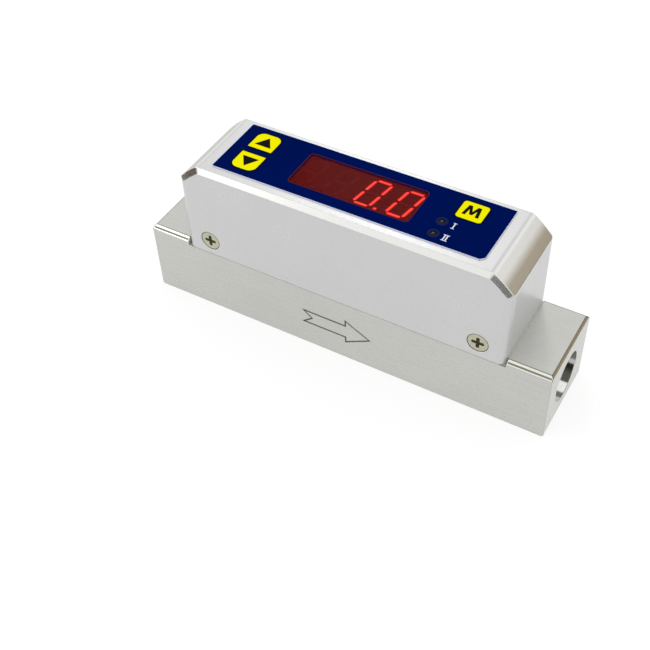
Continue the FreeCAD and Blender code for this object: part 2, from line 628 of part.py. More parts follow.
def pan_screw(x, seat, reach):
    """A small pan-head screw on the middle line, standing on a seat and reaching down from it."""
    head = rod(BOARD_SCREW_DIAMETER + 2 * BOARD_SCREW_HEAD_RIM, (x, 0, seat), BOARD_SCREW_HEAD_HEIGHT)
    shank = rod(BOARD_SCREW_DIAMETER, (x, 0, seat - reach), reach)
    slot = cross_recess((x, 0, seat + BOARD_SCREW_HEAD_HEIGHT), (0, 0, -1))
    return fuse([head, shank]).cut(slot)


def film_corner_cut():
    """The bevelled corner of the film, at the front right."""
    x, y, c = FILM_LENGTH / 2, PANEL_Y - FILM_WIDTH / 2, FILM_CUT_CORNER
    points = [(x - c, y), (x, y + c), (x + OVERCUT, y + c), (x + OVERCUT, y - OVERCUT), (x - c, y - OVERCUT)]
    return sharp_wire(points, plan(COVER_TOP - OVERCUT))


def key_radii(name):
    """Corner radii of a key's outline, anticlockwise from its lowest left corner."""
    big, small = KEY_ROUND_RADIUS, KEY_SQUARE_RADIUS
    return {
        "up": (small, small, big, big),
        "down": (big, big, small, small),
        "mode": (MODE_KEY_RADIUS,) * 4,
    }[name]


def panel_film():
    """The front film, with its window, its lamp holes and its three embossed keys."""
    film = plate(0, PANEL_Y, FILM_LENGTH, FILM_WIDTH, FILM_CORNER_RADIUS, COVER_TOP, FILM_THICKNESS)
    under, depth = COVER_TOP - OVERCUT, FILM_THICKNESS + 2 * OVERCUT
    tools = [prism(film_corner_cut(), (0, 0, depth))]
    tools.append(plate(WINDOW_X, PANEL_Y, WINDOW_LENGTH, WINDOW_WIDTH, WINDOW_RADIUS, under, depth))
    for y in INDICATORS_Y:
        tools.append(rod(INDICATOR_WINDOW_DIAMETER, (INDICATOR_X, y, under), depth))
    pads = [
        plate(x, y, length, KEY_WIDTH, key_radii(name), COVER_TOP, FILM_THICKNESS + KEY_EMBOSS)
        for name, (x, y, length) in KEYS.items()
    ]
    return fuse([film.cut(tools)] + pads)


def display_filter():
    """The red filter under the film's window, level with the cover's top."""
    return display_block(FILTER_Z, COVER_TOP)


def display_block(low, high):
    """A block as long and as wide as the display, between two levels."""
    half_length, half_width = DISPLAY_LENGTH / 2, DISPLAY_WIDTH / 2
    return box((DISPLAY_X - half_length, DISPLAY_Y - half_width, low),
               (DISPLAY_X + half_length, DISPLAY_Y + half_width, high))


def slanted(x, y, middle):
    """A point of a digit, leaned over by the digit's slant."""
    return middle + x + y * math.tan(math.radians(DIGIT_SLANT_DEG)), DISPLAY_Y + y


def bar(start, end, middle):
    """The six-sided outline of one segment between two places of a digit."""
    (x0, y0), (x1, y1) = start, end
    length = math.hypot(x1 - x0, y1 - y0)
    ux, uy = (x1 - x0) / length, (y1 - y0) / length
    h, g = SEGMENT_WIDTH / 2, SEGMENT_GAP / 2
    along = [(g, 0), (g + h, -h), (length - g - h, -h), (length - g, 0), (length - g - h, h), (g + h, h)]
    return [slanted(x0 + a * ux - b * uy, y0 + a * uy + b * ux, middle) for a, b in along]


def segment_solids():
    """Every segment and decimal point of the display, let in from its face."""
    a, b = (DIGIT_WIDTH - SEGMENT_WIDTH) / 2, (DIGIT_HEIGHT - SEGMENT_WIDTH) / 2
    strokes = [
        ((-a, b), (a, b)), ((-a, 0), (a, 0)), ((-a, -b), (a, -b)),
        ((-a, 0), (-a, b)), ((a, 0), (a, b)), ((-a, -b), (-a, 0)), ((a, -b), (a, 0)),
    ]
    outlines = []
    for middle in row(DIGIT_COUNT, DIGIT_PITCH, DISPLAY_X):
        outlines += [bar(start, end, middle) for start, end in strokes]
        outlines.append(rectangle(*slanted(POINT_OFFSET, -b, middle), POINT_SIDE, POINT_SIDE))
    level = plan(FILTER_Z - SEGMENT_DEPTH)
    return [prism(sharp_wire(points, level), (0, 0, SEGMENT_DEPTH)) for points in outlines]


def display_pins():
    """Where the display's pins go through its board."""
    return [(x, DISPLAY_Y + side * DISPLAY_PIN_ROW / 2)
            for side in (-1, 1) for x in row(DISPLAY_ROW_PINS, DISPLAY_PIN_PITCH, DISPLAY_X)]


def square_pin(x, y, z, height, width):
    """An upright square pin."""
    h = width / 2
    return box((x - h, y - h, z), (x + h, y + h, z + height))


def display_housing():
    """The display's housing with a well for every segment, and its two rows of pins."""
    pins = [square_pin(x, y, DISPLAY_Z - DISPLAY_PIN_LENGTH, DISPLAY_PIN_LENGTH, DISPLAY_PIN_WIDTH)
            for x, y in display_pins()]
    return fuse([display_block(DISPLAY_Z, FILTER_Z)] + pins).cut(segment_solids())


def lamp(y):
    """A round indicator lamp with a flange and two leads down to its board."""
    barrel = rod(LAMP_DIAMETER, (INDICATOR_X, y, LAMP_FOOT), LAMP_HEIGHT)
    rim = [e for e in barrel.Edges if e.BoundBox.ZMin > LAMP_FOOT + LAMP_HEIGHT / 2]
    flange = rod(LAMP_FLANGE_DIAMETER, (INDICATOR_X, y, LAMP_FOOT), LAMP_FLANGE_HEIGHT)
    leads = [square_pin(x, y, DISPLAY_Z, LAMP_FOOT - DISPLAY_Z, LAMP_LEAD_WIDTH)
             for x in row(2, LAMP_LEAD_PITCH, INDICATOR_X)]
    return fuse([barrel.makeChamfer(LAMP_CHAMFER, rim), flange] + leads)


def lamp_collars():
    """The collar under each lamp, round its leads."""
    bore = LAMP_FLANGE_DIAMETER - 2 * COLLAR_WALL
    return [tube(LAMP_FLANGE_DIAMETER, bore, (INDICATOR_X, y, DISPLAY_Z), LAMP_FOOT - DISPLAY_Z)
            for y in INDICATORS_Y]


def switch_base(name):
    """A key switch's body: a moulded block under a thin metal plate, with a well for the stem."""
    x, y, _ = KEYS[name]
    half, top = SWITCH_SIDE / 2, DISPLAY_Z + SWITCH_HEIGHT
    under = top - SWITCH_PLATE
    moulding = box((x - half, y - half, DISPLAY_Z), (x + half, y + half, under))
    inner = half - SWITCH_PLATE
    lid = box((x - half, y - inner, under), (x + half, y + inner, top))
    well = rod(STEM_DIAMETER + 2 * STEM_CLEARANCE, (x, y, top - SWITCH_WELL_DEPTH), SWITCH_WELL_DEPTH)
    return fuse([moulding, lid]).cut(well)


def switch_stem(name):
    """The part of a key switch that the finger pushes down."""
    x, y, _ = KEYS[name]
    foot = DISPLAY_Z + SWITCH_HEIGHT - SWITCH_WELL_DEPTH + STEM_SEAT_GAP
    top = COVER_TOP - STEM_TOP_GAP
    stem = rod(STEM_DIAMETER, (x, y, foot), top - foot)
    rim = [e for e in stem.Edges if e.BoundBox.ZMin > (foot + top) / 2]
    return stem.makeChamfer(STEM_CHAMFER, rim)


def square_holes(places, z, depth, width):
    """Cutting tools for square pins through a board."""
    return [square_pin(x, y, z - OVERCUT, depth + 2 * OVERCUT, width + 2 * PIN_HOLE_CLEARANCE) for x, y in places]


def long_board(z, tools):
    """One of the two long boards, with its holes."""
    length, middle = BOARD_RIGHT_X - BOARD_LEFT_X, (BOARD_RIGHT_X + BOARD_LEFT_X) / 2
    blank = plate(middle, 0, length, 2 * BOARD_HALF_WIDTH, BOARD_CORNER_RADIUS, z, BOARD_THICKNESS)
    return blank.cut(tools)


def display_board():
    """The board that carries the display, the lamps and the key switches."""
    tools = square_holes(display_pins(), DISPLAY_BOARD_Z, BOARD_THICKNESS, DISPLAY_PIN_WIDTH)
    for side in (-1, 1):
        tools += square_holes(board_header_pins(side), DISPLAY_BOARD_Z, BOARD_THICKNESS, HEADER_PIN_WIDTH)
    return long_board(DISPLAY_BOARD_Z, tools)


def main_board():
    """The board with the controller and the power supply, screwed to the standoffs."""
    tools = square_holes(sensor_header_pins(), MAIN_BOARD_Z, BOARD_THICKNESS, HEADER_PIN_WIDTH)
    hole = BOARD_SCREW_DIAMETER + 2 * BOARD_HOLE_CLEARANCE
    tools += [rod(hole, (x, 0, MAIN_BOARD_Z - OVERCUT), BOARD_THICKNESS + 2 * OVERCUT)
              for x in (-BOARD_FIXING_X, BOARD_FIXING_X)]
    return long_board(MAIN_BOARD_Z, tools)


def sensor_header_pins():
    """Where the sensor's header meets the main board."""
    return [(x, SENSOR_HEADER_Y) for x in row(SENSOR_HEADER_PINS, HEADER_PITCH)]


def board_header_pins(side):
    """The pins of one of the two headers between the long boards: front left or back right."""
    xs = row(BOARD_HEADER_PINS, HEADER_PITCH, side * BOARD_HEADER_X)
    return [(x, side * BOARD_HEADER_Y) for x in xs]


def pin_header(places, low, high, through):
    """A moulded strip between two boards, with pins that go on through the upper one."""
    xs = [x for x, _ in places]
    y = places[0][1]
    end, side = HEADER_PITCH / 2, HEADER_WIDTH / 2
    strip = box((min(xs) - end, y - side, low), (max(xs) + end, y + side, high))
    pins = [square_pin(x, y, high, through, HEADER_PIN_WIDTH) for x, _ in places]
    return fuse([strip] + pins)


def standoff(x):
    """A hexagonal standoff on the middle line: a stud into the plinth, and a tapped bore above."""
    post = prism(sharp_wire(hexagon(x, 0, STANDOFF_FLATS), plan(PLINTH_TOP)), (0, 0, STANDOFF_HEIGHT))
    stud = rod(STANDOFF_STUD_DIAMETER, (x, 0, PLINTH_TOP - STANDOFF_STUD_LENGTH), STANDOFF_STUD_LENGTH)
    depth = BOARD_SCREW_GRIP + THREAD_CLEARANCE
    bore = rod(thread_hole(BOARD_SCREW_DIAMETER), (x, 0, MAIN_BOARD_Z - depth), depth)
    return fuse([post, stud]).cut(bore)


def sensor_carrier():
    """The plug that closes the sensor's bore: a flange, a grooved stem and a blade in the gas path."""
    flange = plate(0, 0, CARRIER_LENGTH, CARRIER_WIDTH, CARRIER_CORNER_RADIUS, CARRIER_Z, CARRIER_THICKNESS)
    stem_diameter = SENSOR_BORE_DIAMETER - 2 * STEM_RUN_CLEARANCE
    stem = rod(stem_diameter, (0, 0, CHANNEL_CROWN), CARRIER_Z - CHANNEL_CROWN)
    blade_foot = PORT_AXIS_HEIGHT - BLADE_REACH
    blade = box((-BLADE_LENGTH / 2, -BLADE_THICKNESS / 2, blade_foot),
                (BLADE_LENGTH / 2, BLADE_THICKNESS / 2, CHANNEL_CROWN))
    groove_floor = SENSOR_BORE_DIAMETER - 2 * (SEAL_WIDTH + 2 * SEAL_CLEARANCE)
    groove_height = SEAL_WIDTH + 2 * SEAL_HEIGHT_CLEARANCE
    groove = tube(stem_diameter + OVERCUT, groove_floor, (0, 0, SEAL_Z - groove_height / 2), groove_height)
    holes = [rod(thread_hole(BOARD_SCREW_DIAMETER), (x, 0, CARRIER_Z - OVERCUT), CARRIER_THICKNESS + 2 * OVERCUT)
             for x in (-SENSOR_SCREW_X, SENSOR_SCREW_X)]
    return fuse([flange, stem, blade]).cut([groove] + holes)


def sensor_seal():
    """The square-cut rubber ring in the carrier stem's groove."""
    outer = SENSOR_BORE_DIAMETER - 2 * SEAL_CLEARANCE
    return tube(outer, outer - 2 * SEAL_WIDTH, (0, 0, SEAL_Z - SEAL_WIDTH / 2), SEAL_WIDTH)


def sensor_chip():
    """The flow-sensing chip on the blade, at the gas path's axis."""
    half, face = CHIP_SIDE / 2, BLADE_THICKNESS / 2
    return box((-half, face, PORT_AXIS_HEIGHT - half), (half, face + CHIP_THICKNESS, PORT_AXIS_HEIGHT + half))


def sensor_board():
    """The small board on the carrier."""
    m = SENSOR_BOARD_MARGIN
    blank = plate(0, 0, CARRIER_LENGTH - 2 * m, CARRIER_WIDTH - 2 * m, CARRIER_CORNER_RADIUS - m,
                  PLINTH_TOP, SENSOR_BOARD_THICKNESS)
    hole = BOARD_SCREW_DIAMETER + 2 * BOARD_HOLE_CLEARANCE
    holes = [rod(hole, (x, 0, PLINTH_TOP - OVERCUT), SENSOR_BOARD_THICKNESS + 2 * OVERCUT)
             for x in (-SENSOR_SCREW_X, SENSOR_SCREW_X)]
    return blank.cut(holes)


def flow_conditioner():
    """A honeycomb disc that straightens the gas before the sensor."""
    diameter = CONDITIONER_SEAT_DIAMETER - 2 * CONDITIONER_CLEARANCE
    start = SEAT_X - CONDITIONER_THICKNESS
    disc = rod(diameter, (start, 0, PORT_AXIS_HEIGHT), CONDITIONER_THICKNESS, ALONG)
    pitch = CELL_FLATS + CELL_WALL
    upright = pitch * math.sqrt(3) / 2
    cells = []
    for i in range(-CELL_RINGS, CELL_RINGS + 1):
        for j in range(-CELL_RINGS, CELL_RINGS + 1):
            if abs(i + j) <= CELL_RINGS:
                # cells touch flat to flat along Z, so a corner points along Y
                corners = hexagon(upright * j, PORT_AXIS_HEIGHT + pitch * (i + j / 2), CELL_FLATS)
                outline = sharp_wire(corners, lambda p: V(start - OVERCUT, p.x, p.y))
                cells.append(prism(outline, (CONDITIONER_THICKNESS + 2 * OVERCUT, 0, 0)))
    return disc.cut(cells)


def retaining_ring():
    """The open spring ring that keeps the conditioner in its seat."""
    outer = RING_GROOVE_DIAMETER - 2 * RING_CLEARANCE - 2 * THREAD_CLEARANCE
    ring = tube(outer, outer - 2 * RING_WIDTH, (RING_X, 0, PORT_AXIS_HEIGHT), RING_THICKNESS, ALONG)
    opening = box((RING_X - OVERCUT, -RING_OPENING / 2, PORT_AXIS_HEIGHT),
                  (RING_X + RING_THICKNESS + OVERCUT, RING_OPENING / 2, PORT_AXIS_HEIGHT + outer))
    return ring.cut(opening)


def socket_shell():
    """The socket's metal barrel, with the flange that shows on the cover's end."""
    flange_x = SOCKET_FACE_X - SOCKET_FLANGE_THICKNESS
    flange = rod(SOCKET_BARREL_DIAMETER + 2 * SOCKET_FLANGE_RIM, (flange_x, 0, SOCKET_Z),
                 SOCKET_FLANGE_THICKNESS, ALONG)
    rim = [e for e in flange.Edges if e.BoundBox.XMax < flange_x + SOCKET_FLANGE_THICKNESS / 2]
    barrel = rod(SOCKET_BARREL_DIAMETER, (SOCKET_FACE_X, 0, SOCKET_Z), SOCKET_LENGTH, ALONG)
    bore = rod(SOCKET_BORE_DIAMETER, (flange_x - OVERCUT, 0, SOCKET_Z),
               SOCKET_LENGTH + SOCKET_FLANGE_THICKNESS + 2 * OVERCUT, ALONG)
    return fuse([flange.makeChamfer(SOCKET_FLANGE_CHAMFER, rim), barrel]).cut(bore)


def socket_nut():
    """The slotted ring nut that holds the socket from inside the cover."""
    x, z = SOCKET_FACE_X + COVER_WALL, SOCKET_Z
    outer = SOCKET_BARREL_DIAMETER + 2 * SOCKET_NUT_RIM
    nut = tube(outer, thread_hole(SOCKET_BARREL_DIAMETER), (x, 0, z), SOCKET_NUT_THICKNESS, ALONG)
    slot = box((x - OVERCUT, -SOCKET_NUT_SLOT_WIDTH / 2, z + outer / 2 - SOCKET_NUT_SLOT_DEPTH),
               (x + SOCKET_NUT_THICKNESS + OVERCUT, SOCKET_NUT_SLOT_WIDTH / 2, z + outer))
    slots = []
    step = 360 / SOCKET_NUT_SLOT_COUNT
    for i in range(SOCKET_NUT_SLOT_COUNT):
        turned = slot.copy()
        turned.rotate(V(x, 0, z), V(1, 0, 0), step * (i + 0.5))
        slots.append(turned)
    return nut.cut(slots)


def contact_places():
    """Where the socket's contacts are, across and up."""
    return [(y, SOCKET_Z + dz) for dz, ys in CONTACT_ROWS for y in ys]


def level_bars(places, start, end, width):
    """Square bars along X at each place."""
    h = width / 2
    return [box((start, y - h, z - h), (end, y + h, z + h)) for y, z in places]


def socket_insert():
    """The moulded core that the plug goes round, with a six-sided hole for each pin and a keyway."""
    length = WAFER_X - INSERT_FACE_X
    core = rod(INSERT_DIAMETER, (INSERT_FACE_X, 0, SOCKET_Z), length, ALONG)
    across = INSERT_FACE_X - OVERCUT
    holes = [prism(sharp_wire(hexagon(y, z, CONTACT_HOLE_FLATS), lambda p: V(across, p.x, p.y)),
                   (length + 2 * OVERCUT, 0, 0)) for y, z in contact_places()]
    keyway = box((INSERT_FACE_X - OVERCUT, -KEYWAY_WIDTH / 2, SOCKET_Z + INSERT_DIAMETER / 2 - KEYWAY_DEPTH),
                 (WAFER_X + OVERCUT, KEYWAY_WIDTH / 2, SOCKET_Z + INSERT_DIAMETER))
    return core.cut(holes + [keyway])


def socket_wafer():
    """The moulded disc that closes the back of the socket and holds the contacts."""
    disc = rod(SOCKET_BORE_DIAMETER - 2 * WAFER_CLEARANCE, (WAFER_X, 0, SOCKET_Z), WAFER_THICKNESS, ALONG)
    width = CONTACT_WIDTH + 2 * WAFER_CLEARANCE
    return disc.cut(level_bars(contact_places(), WAFER_X - OVERCUT, SOCKET_REAR_X + OVERCUT, width))


def socket_contacts():
    """The socket's contacts, from just inside the insert's face to the board behind it."""
    return level_bars(contact_places(), INSERT_FACE_X + CONTACT_RECESS, SOCKET_REAR_X + CONTACT_TAIL, CONTACT_WIDTH)


def link_places():
    """Where the link header's pins are, across and up."""
    return [(y, LINK_Z) for y in row(LINK_PINS, LINK_SPACING)]


def socket_board():
    """The upright board that the socket's contacts are soldered into."""
    start, end = SOCKET_BOARD_X, SOCKET_BOARD_X + SOCKET_BOARD_THICKNESS
    half = SOCKET_BOARD_WIDTH / 2
    blank = box((start, -half, SOCKET_Z - SOCKET_BOARD_HALF_HEIGHT), (end, half, SOCKET_Z + SOCKET_BOARD_HALF_HEIGHT))
    tools = level_bars(contact_places(), start - OVERCUT, end + OVERCUT, CONTACT_WIDTH + 2 * PIN_HOLE_CLEARANCE)
    tools += level_bars(link_places(), start - OVERCUT, end + OVERCUT, LINK_PIN_WIDTH + 2 * PIN_HOLE_CLEARANCE)
    return blank.cut(tools)


def link_header():
    """The right-angle header from the main board to the socket's board."""
    start = BOARD_LEFT_X + LINK_INSET
    half = LINK_PINS * LINK_SPACING / 2
    block = box((start, -half, MAIN_BOARD_TOP), (start + LINK_DEPTH, half, MAIN_BOARD_TOP + LINK_HEIGHT))
    return fuse([block] + level_bars(link_places(), SOCKET_BOARD_X - LINK_PIN_REACH, start, LINK_PIN_WIDTH))


def capacitors():
    """The two can capacitors on the main board."""
    y = -BOARD_HALF_WIDTH + CAPACITOR_EDGE
    return [rod(CAPACITOR_DIAMETER, (x, y, MAIN_BOARD_TOP), CAPACITOR_HEIGHT) for x in CAPACITORS_X]


def moulded_part(x, length, width, height):
    """A plain moulded part standing on the main board, with its top edges eased."""
    block = box((x - length / 2, -width / 2, MAIN_BOARD_TOP), (x + length / 2, width / 2, MAIN_BOARD_TOP + height))
    top = [e for e in block.Edges if e.BoundBox.ZMin > MAIN_BOARD_TOP + height / 2]
    return block.makeChamfer(CHIP_TOP_CHAMFER, top)


def nodes():
    """Every piece by name; a list is one node of separate, like solids."""
    made = {
        "flow_body": flow_body(),
        "cover": cover(),
        "cover_screws": [cover_screw(x, side) for x, side in screw_places()],
        "panel_film": panel_film(),
        "display_filter": display_filter(),
        "display_housing": display_housing(),
        "display_segments": segment_solids(),
        "indicator_lamp_1": lamp(INDICATORS_Y[0]),
        "indicator_lamp_2": lamp(INDICATORS_Y[1]),
        "lamp_collars": lamp_collars(),
        "display_board": display_board(),
        "main_board": main_board(),
        "board_headers": [pin_header(board_header_pins(side), MAIN_BOARD_TOP, DISPLAY_BOARD_Z, BOARD_THICKNESS)
                          for side in (-1, 1)],
        "sensor_header": pin_header(sensor_header_pins(), SENSOR_BOARD_TOP, MAIN_BOARD_Z, BOARD_THICKNESS),
        "board_standoffs": [standoff(x) for x in (-BOARD_FIXING_X, BOARD_FIXING_X)],
        "board_screws": [pan_screw(x, MAIN_BOARD_TOP, BOARD_THICKNESS + BOARD_SCREW_GRIP)
                         for x in (-BOARD_FIXING_X, BOARD_FIXING_X)],
        "controller_chip": moulded_part(CONTROLLER_X, CONTROLLER_SIDE, CONTROLLER_SIDE, CONTROLLER_HEIGHT),
        "line_driver_chip": moulded_part(DRIVER_X, DRIVER_WIDTH, DRIVER_LENGTH, DRIVER_HEIGHT),
        "power_coil": moulded_part(COIL_X, COIL_SIDE, COIL_SIDE, COIL_HEIGHT),
        "can_capacitors": capacitors(),
        "sensor_carrier": sensor_carrier(),
        "sensor_seal": sensor_seal(),
        "sensor_chip": sensor_chip(),
        "sensor_board": sensor_board(),
        "sensor_screws": [pan_screw(x, SENSOR_BOARD_TOP, SENSOR_SCREW_REACH)
                          for x in (-SENSOR_SCREW_X, SENSOR_SCREW_X)],
        "flow_conditioner": flow_conditioner(),
        "retaining_ring": retaining_ring(),
        "socket_shell": socket_shell(),
        "socket_nut": socket_nut(),
        "socket_insert": socket_insert(),
        "socket_wafer": socket_wafer(),
        "socket_contacts": socket_contacts(),
        "socket_board": socket_board(),
        "link_header": link_header(),
    }
    for name in KEYS:
        made[f"switch_base_{name}"] = switch_base(name)
        made[f"switch_stem_{name}"] = switch_stem(name)
    return made


os.makedirs("parts", exist_ok=True)
for node, shape in nodes().items():
    solids = shape if isinstance(shape, list) else [shape]
    whole = Part.Compound([s for solid in solids for s in solid.Solids])
    assert whole.isValid(), node
    whole.exportStep(f"parts/{node}.step")
    print(node, len(whole.Solids), round(whole.Volume, 2))
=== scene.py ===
"""Looks of the in-line gas mass flow meter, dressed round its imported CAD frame.

Sizes of the pieces made here are in millimetres, in the frame of the part, and become metres as
a mesh is finished. Sizes in finishes and in the studio are in metres.
"""

import logging
import math
from collections.abc import Iterable, Sequence
from dataclasses import dataclass, field
from enum import Enum
from functools import partial

import bmesh
import bpy
from bmesh.types import BMesh, BMVert
from bpy.types import Material, Node, NodeSocket, NodeTree, Object
from mathutils import Matrix, Vector

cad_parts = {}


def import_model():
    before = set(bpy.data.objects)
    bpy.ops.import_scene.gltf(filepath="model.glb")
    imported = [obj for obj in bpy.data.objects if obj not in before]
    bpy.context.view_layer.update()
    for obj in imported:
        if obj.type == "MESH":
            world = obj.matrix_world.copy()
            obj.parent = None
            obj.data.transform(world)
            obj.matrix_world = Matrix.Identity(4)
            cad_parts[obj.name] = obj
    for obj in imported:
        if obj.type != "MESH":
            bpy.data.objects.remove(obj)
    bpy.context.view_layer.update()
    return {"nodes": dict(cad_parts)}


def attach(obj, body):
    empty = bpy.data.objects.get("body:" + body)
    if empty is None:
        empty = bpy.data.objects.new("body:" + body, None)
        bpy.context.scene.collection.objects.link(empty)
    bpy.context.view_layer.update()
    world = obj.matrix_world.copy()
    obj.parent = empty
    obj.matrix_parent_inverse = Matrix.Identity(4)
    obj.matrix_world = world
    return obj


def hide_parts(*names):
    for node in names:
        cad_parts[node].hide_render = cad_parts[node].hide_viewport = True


LOG = logging.getLogger("flow_meter")
MM = 0.001
MERGE_DISTANCE = 1e-5
SHARP_ANGLE = math.radians(35)
ROUND_PROFILE = 0.5
SIDE_CORNERS = 4
NOISE_RANGE = (0.3, 0.7)
METER = "meter"

Colour = tuple[float, float, float]
Point = tuple[float, float]
PURE_WHITE = (1.0, 1.0, 1.0)


class Slot(str, Enum):
    """Names of material slots; nothing in this script uses them."""

    BLOCK = "machined_block"
    COVER = "blasted_cover"
    SCREWS = "nickel_screws"
    FILM = "printed_film"
    SEGMENTS = "lit_segments"
    LAMP = "lamp_lens"


def srgb(red: int, green: int, blue: int) -> Colour:
    """A screen colour as a linear one.

    Args:
        red: From 0 to 255.
        green: From 0 to 255.
        blue: From 0 to 255.

    Returns:
        The linear colour, each channel from 0 to 1.
    """
    def linear(channel: int) -> float:
        """One channel, made linear."""
        value = channel / 255
        return value / 12.92 if value <= 0.04045 else ((value + 0.055) / 1.055) ** 2.4

    return linear(red), linear(green), linear(blue)


def opaque(colour: Colour) -> tuple[float, float, float, float]:
    """A colour with full alpha."""
    return (*colour, 1.0)


class Tree:
    """A node tree with short calls to add and join nodes."""

    def __init__(self, tree: NodeTree) -> None:
        """Holds the tree."""
        self.tree = tree

    def add(self, kind: str, inputs: dict | None = None, **settings: object) -> Node:
        """Adds a node.

        Args:
            kind: The node's type, without its leading "ShaderNode".
            inputs: Values, or sockets to join, by input name or number.
            settings: Properties to set on the node.

        Returns:
            The new node.
        """
        node = self.tree.nodes.new("ShaderNode" + kind)
        for name, value in settings.items():
            setattr(node, name, value)
        for name, value in (inputs or {}).items():
            self.put(node.inputs[name], value)
        return node

    def put(self, socket: NodeSocket, value: object) -> None:
        """Joins a socket to an input, or sets the input's value."""
        if isinstance(value, NodeSocket):
            self.tree.links.new(value, socket)
        else:
            socket.default_value = value

    def math(self, operation: str, *values: object) -> NodeSocket:
        """The result of one Math node."""
        return self.add("Math", dict(enumerate(values)), operation=operation).outputs[0]

    def blend(self, factor: object, first: object, second: object) -> NodeSocket:
        """A mix of two colours."""
        node = self.add("Mix", data_type="RGBA")
        for name, value in (("Factor_Float", factor), ("A_Color", first), ("B_Color", second)):
            socket = next(s for s in node.inputs if s.identifier == name)
            self.put(socket, value)
        return next(s for s in node.outputs if s.identifier == "Result_Color")

    def span(self, value: object, low: float, high: float, start: float = 0.0,
             end: float = 1.0) -> NodeSocket:
        """A value taken from start..end to low..high, held inside them."""
        given = {"Value": value, "From Min": start, "From Max": end, "To Min": low, "To Max": high}
        return self.add("MapRange", given).outputs[0]

    def spread(self, noise: object, low: float, high: float) -> NodeSocket:
        """A noise's usual range taken to low..high."""
        return self.span(noise, low, high, *NOISE_RANGE)


@dataclass(frozen=True)
class Port:
    """One socket of a shared effect."""

    name: str
    kind: str = "NodeSocketFloat"
    value: float = 0.0


class Effect:
    """A surface effect that several materials share, built once as a node group."""

    name = "effect"
    takes: tuple[Port, ...] = ()
    gives: tuple[Port, ...] = ()

    def wire(self, tree: Tree, inputs: Node, outputs: Node) -> None:
        """Joins the group's nodes between its inputs and outputs."""
        raise NotImplementedError

    def group(self) -> NodeTree:
        """The node group, made at its first use.

        Returns:
            The group that every material shares.
        """
        made = bpy.data.node_groups.get(self.name)
        if made is not None:
            return made
        made = bpy.data.node_groups.new(self.name, "ShaderNodeTree")
        for direction, ports in (("INPUT", self.takes), ("OUTPUT", self.gives)):
            for port in ports:
                socket = made.interface.new_socket(
                    port.name, in_out=direction, socket_type=port.kind)
                if port.kind == "NodeSocketFloat":
                    socket.default_value = port.value
        inputs, outputs = made.nodes.new("NodeGroupInput"), made.nodes.new("NodeGroupOutput")
        self.wire(Tree(made), inputs, outputs)
        return made

    def place(self, tree: Tree, **values: float) -> Node:
        """Places the effect in a material.

        Args:
            tree: The material's tree.
            values: Input values by name, with "_" for a space.

        Returns:
            The group's node.
        """
        node = tree.tree.nodes.new("ShaderNodeGroup")
        node.node_tree = self.group()
        for name, value in values.items():
            node.inputs[name.replace("_", " ")].default_value = value
        return node


class EdgeWearAndReflection(Effect):
    """Rounds the look of sharp edges; marks them for real wear and painted dark reflections."""

    name = "edge_wear_and_reflection"
    takes = (Port("Radius", value=0.0002), Port("Sharpness", value=4.0))
    gives = (Port("Edge"), Port("Upper"), Port("Normal", "NodeSocketVector"))
    samples = 6
    upper_rise = (0.3, 0.6)

    def wire(self, tree: Tree, inputs: Node, outputs: Node) -> None:
        """Compares the rounded normal with the true one."""
        radius, sharpness = inputs.outputs["Radius"], inputs.outputs["Sharpness"]
        rounded = tree.add("Bevel", {"Radius": radius}, samples=self.samples).outputs[0]
        true = tree.add("NewGeometry").outputs["Normal"]
        turn = tree.add("VectorMath", {0: rounded, 1: true}, operation="DOT_PRODUCT")
        bent = tree.math("SUBTRACT", 1.0, turn.outputs["Value"])
        sharp = tree.math("MULTIPLY", bent, sharpness)
        tree.put(outputs.inputs["Edge"], tree.math("MINIMUM", sharp, 1.0))
        rise = tree.add("SeparateXYZ", {0: rounded}).outputs[2]
        tree.put(outputs.inputs["Upper"], tree.span(rise, 0.0, 1.0, *self.upper_rise))
        tree.put(outputs.inputs["Normal"], rounded)


class Grain(Effect):
    """Fine even grain, stretched along the axes as asked: blasted, brushed or moulded."""

    name = "grain"
    takes = (
        Port("Along X", value=1.0), Port("Along Y", value=1.0), Port("Along Z", value=1.0),
        Port("Fineness", value=4000.0),
    )
    gives = (Port("Grain"),)
    detail = 3.0
    roughness = 0.6

    def wire(self, tree: Tree, inputs: Node, outputs: Node) -> None:
        """Noise on Object coordinates, squeezed by axis."""
        place = tree.add("TexCoord").outputs["Object"]
        along = {axis: inputs.outputs["Along " + axis] for axis in "XYZ"}
        squeeze = tree.add("CombineXYZ", along).outputs[0]
        mapped = tree.add("Mapping", {"Vector": place, "Scale": squeeze}).outputs[0]
        noise = tree.add("TexNoise", {"Vector": mapped, "Scale": inputs.outputs["Fineness"],
                                      "Detail": self.detail, "Roughness": self.roughness})
        tree.put(outputs.inputs["Grain"], noise.outputs[0])


class Pits(Effect):
    """The small dents of bead blasting, each with its own brightness."""

    name = "blast_pits"
    takes = (Port("Fineness", value=5000.0),)
    gives = (Port("Pit"), Port("Glint"))

    def wire(self, tree: Tree, inputs: Node, outputs: Node) -> None:
        """Cells on Object coordinates: their depth, and one random value each."""
        place = tree.add("TexCoord").outputs["Object"]
        cells = tree.add("TexVoronoi", {"Vector": place, "Scale": inputs.outputs["Fineness"]})
        shade = tree.add("SeparateColor", {0: cells.outputs["Color"]}).outputs[0]
        tree.put(outputs.inputs["Pit"], cells.outputs["Distance"])
        tree.put(outputs.inputs["Glint"], shade)


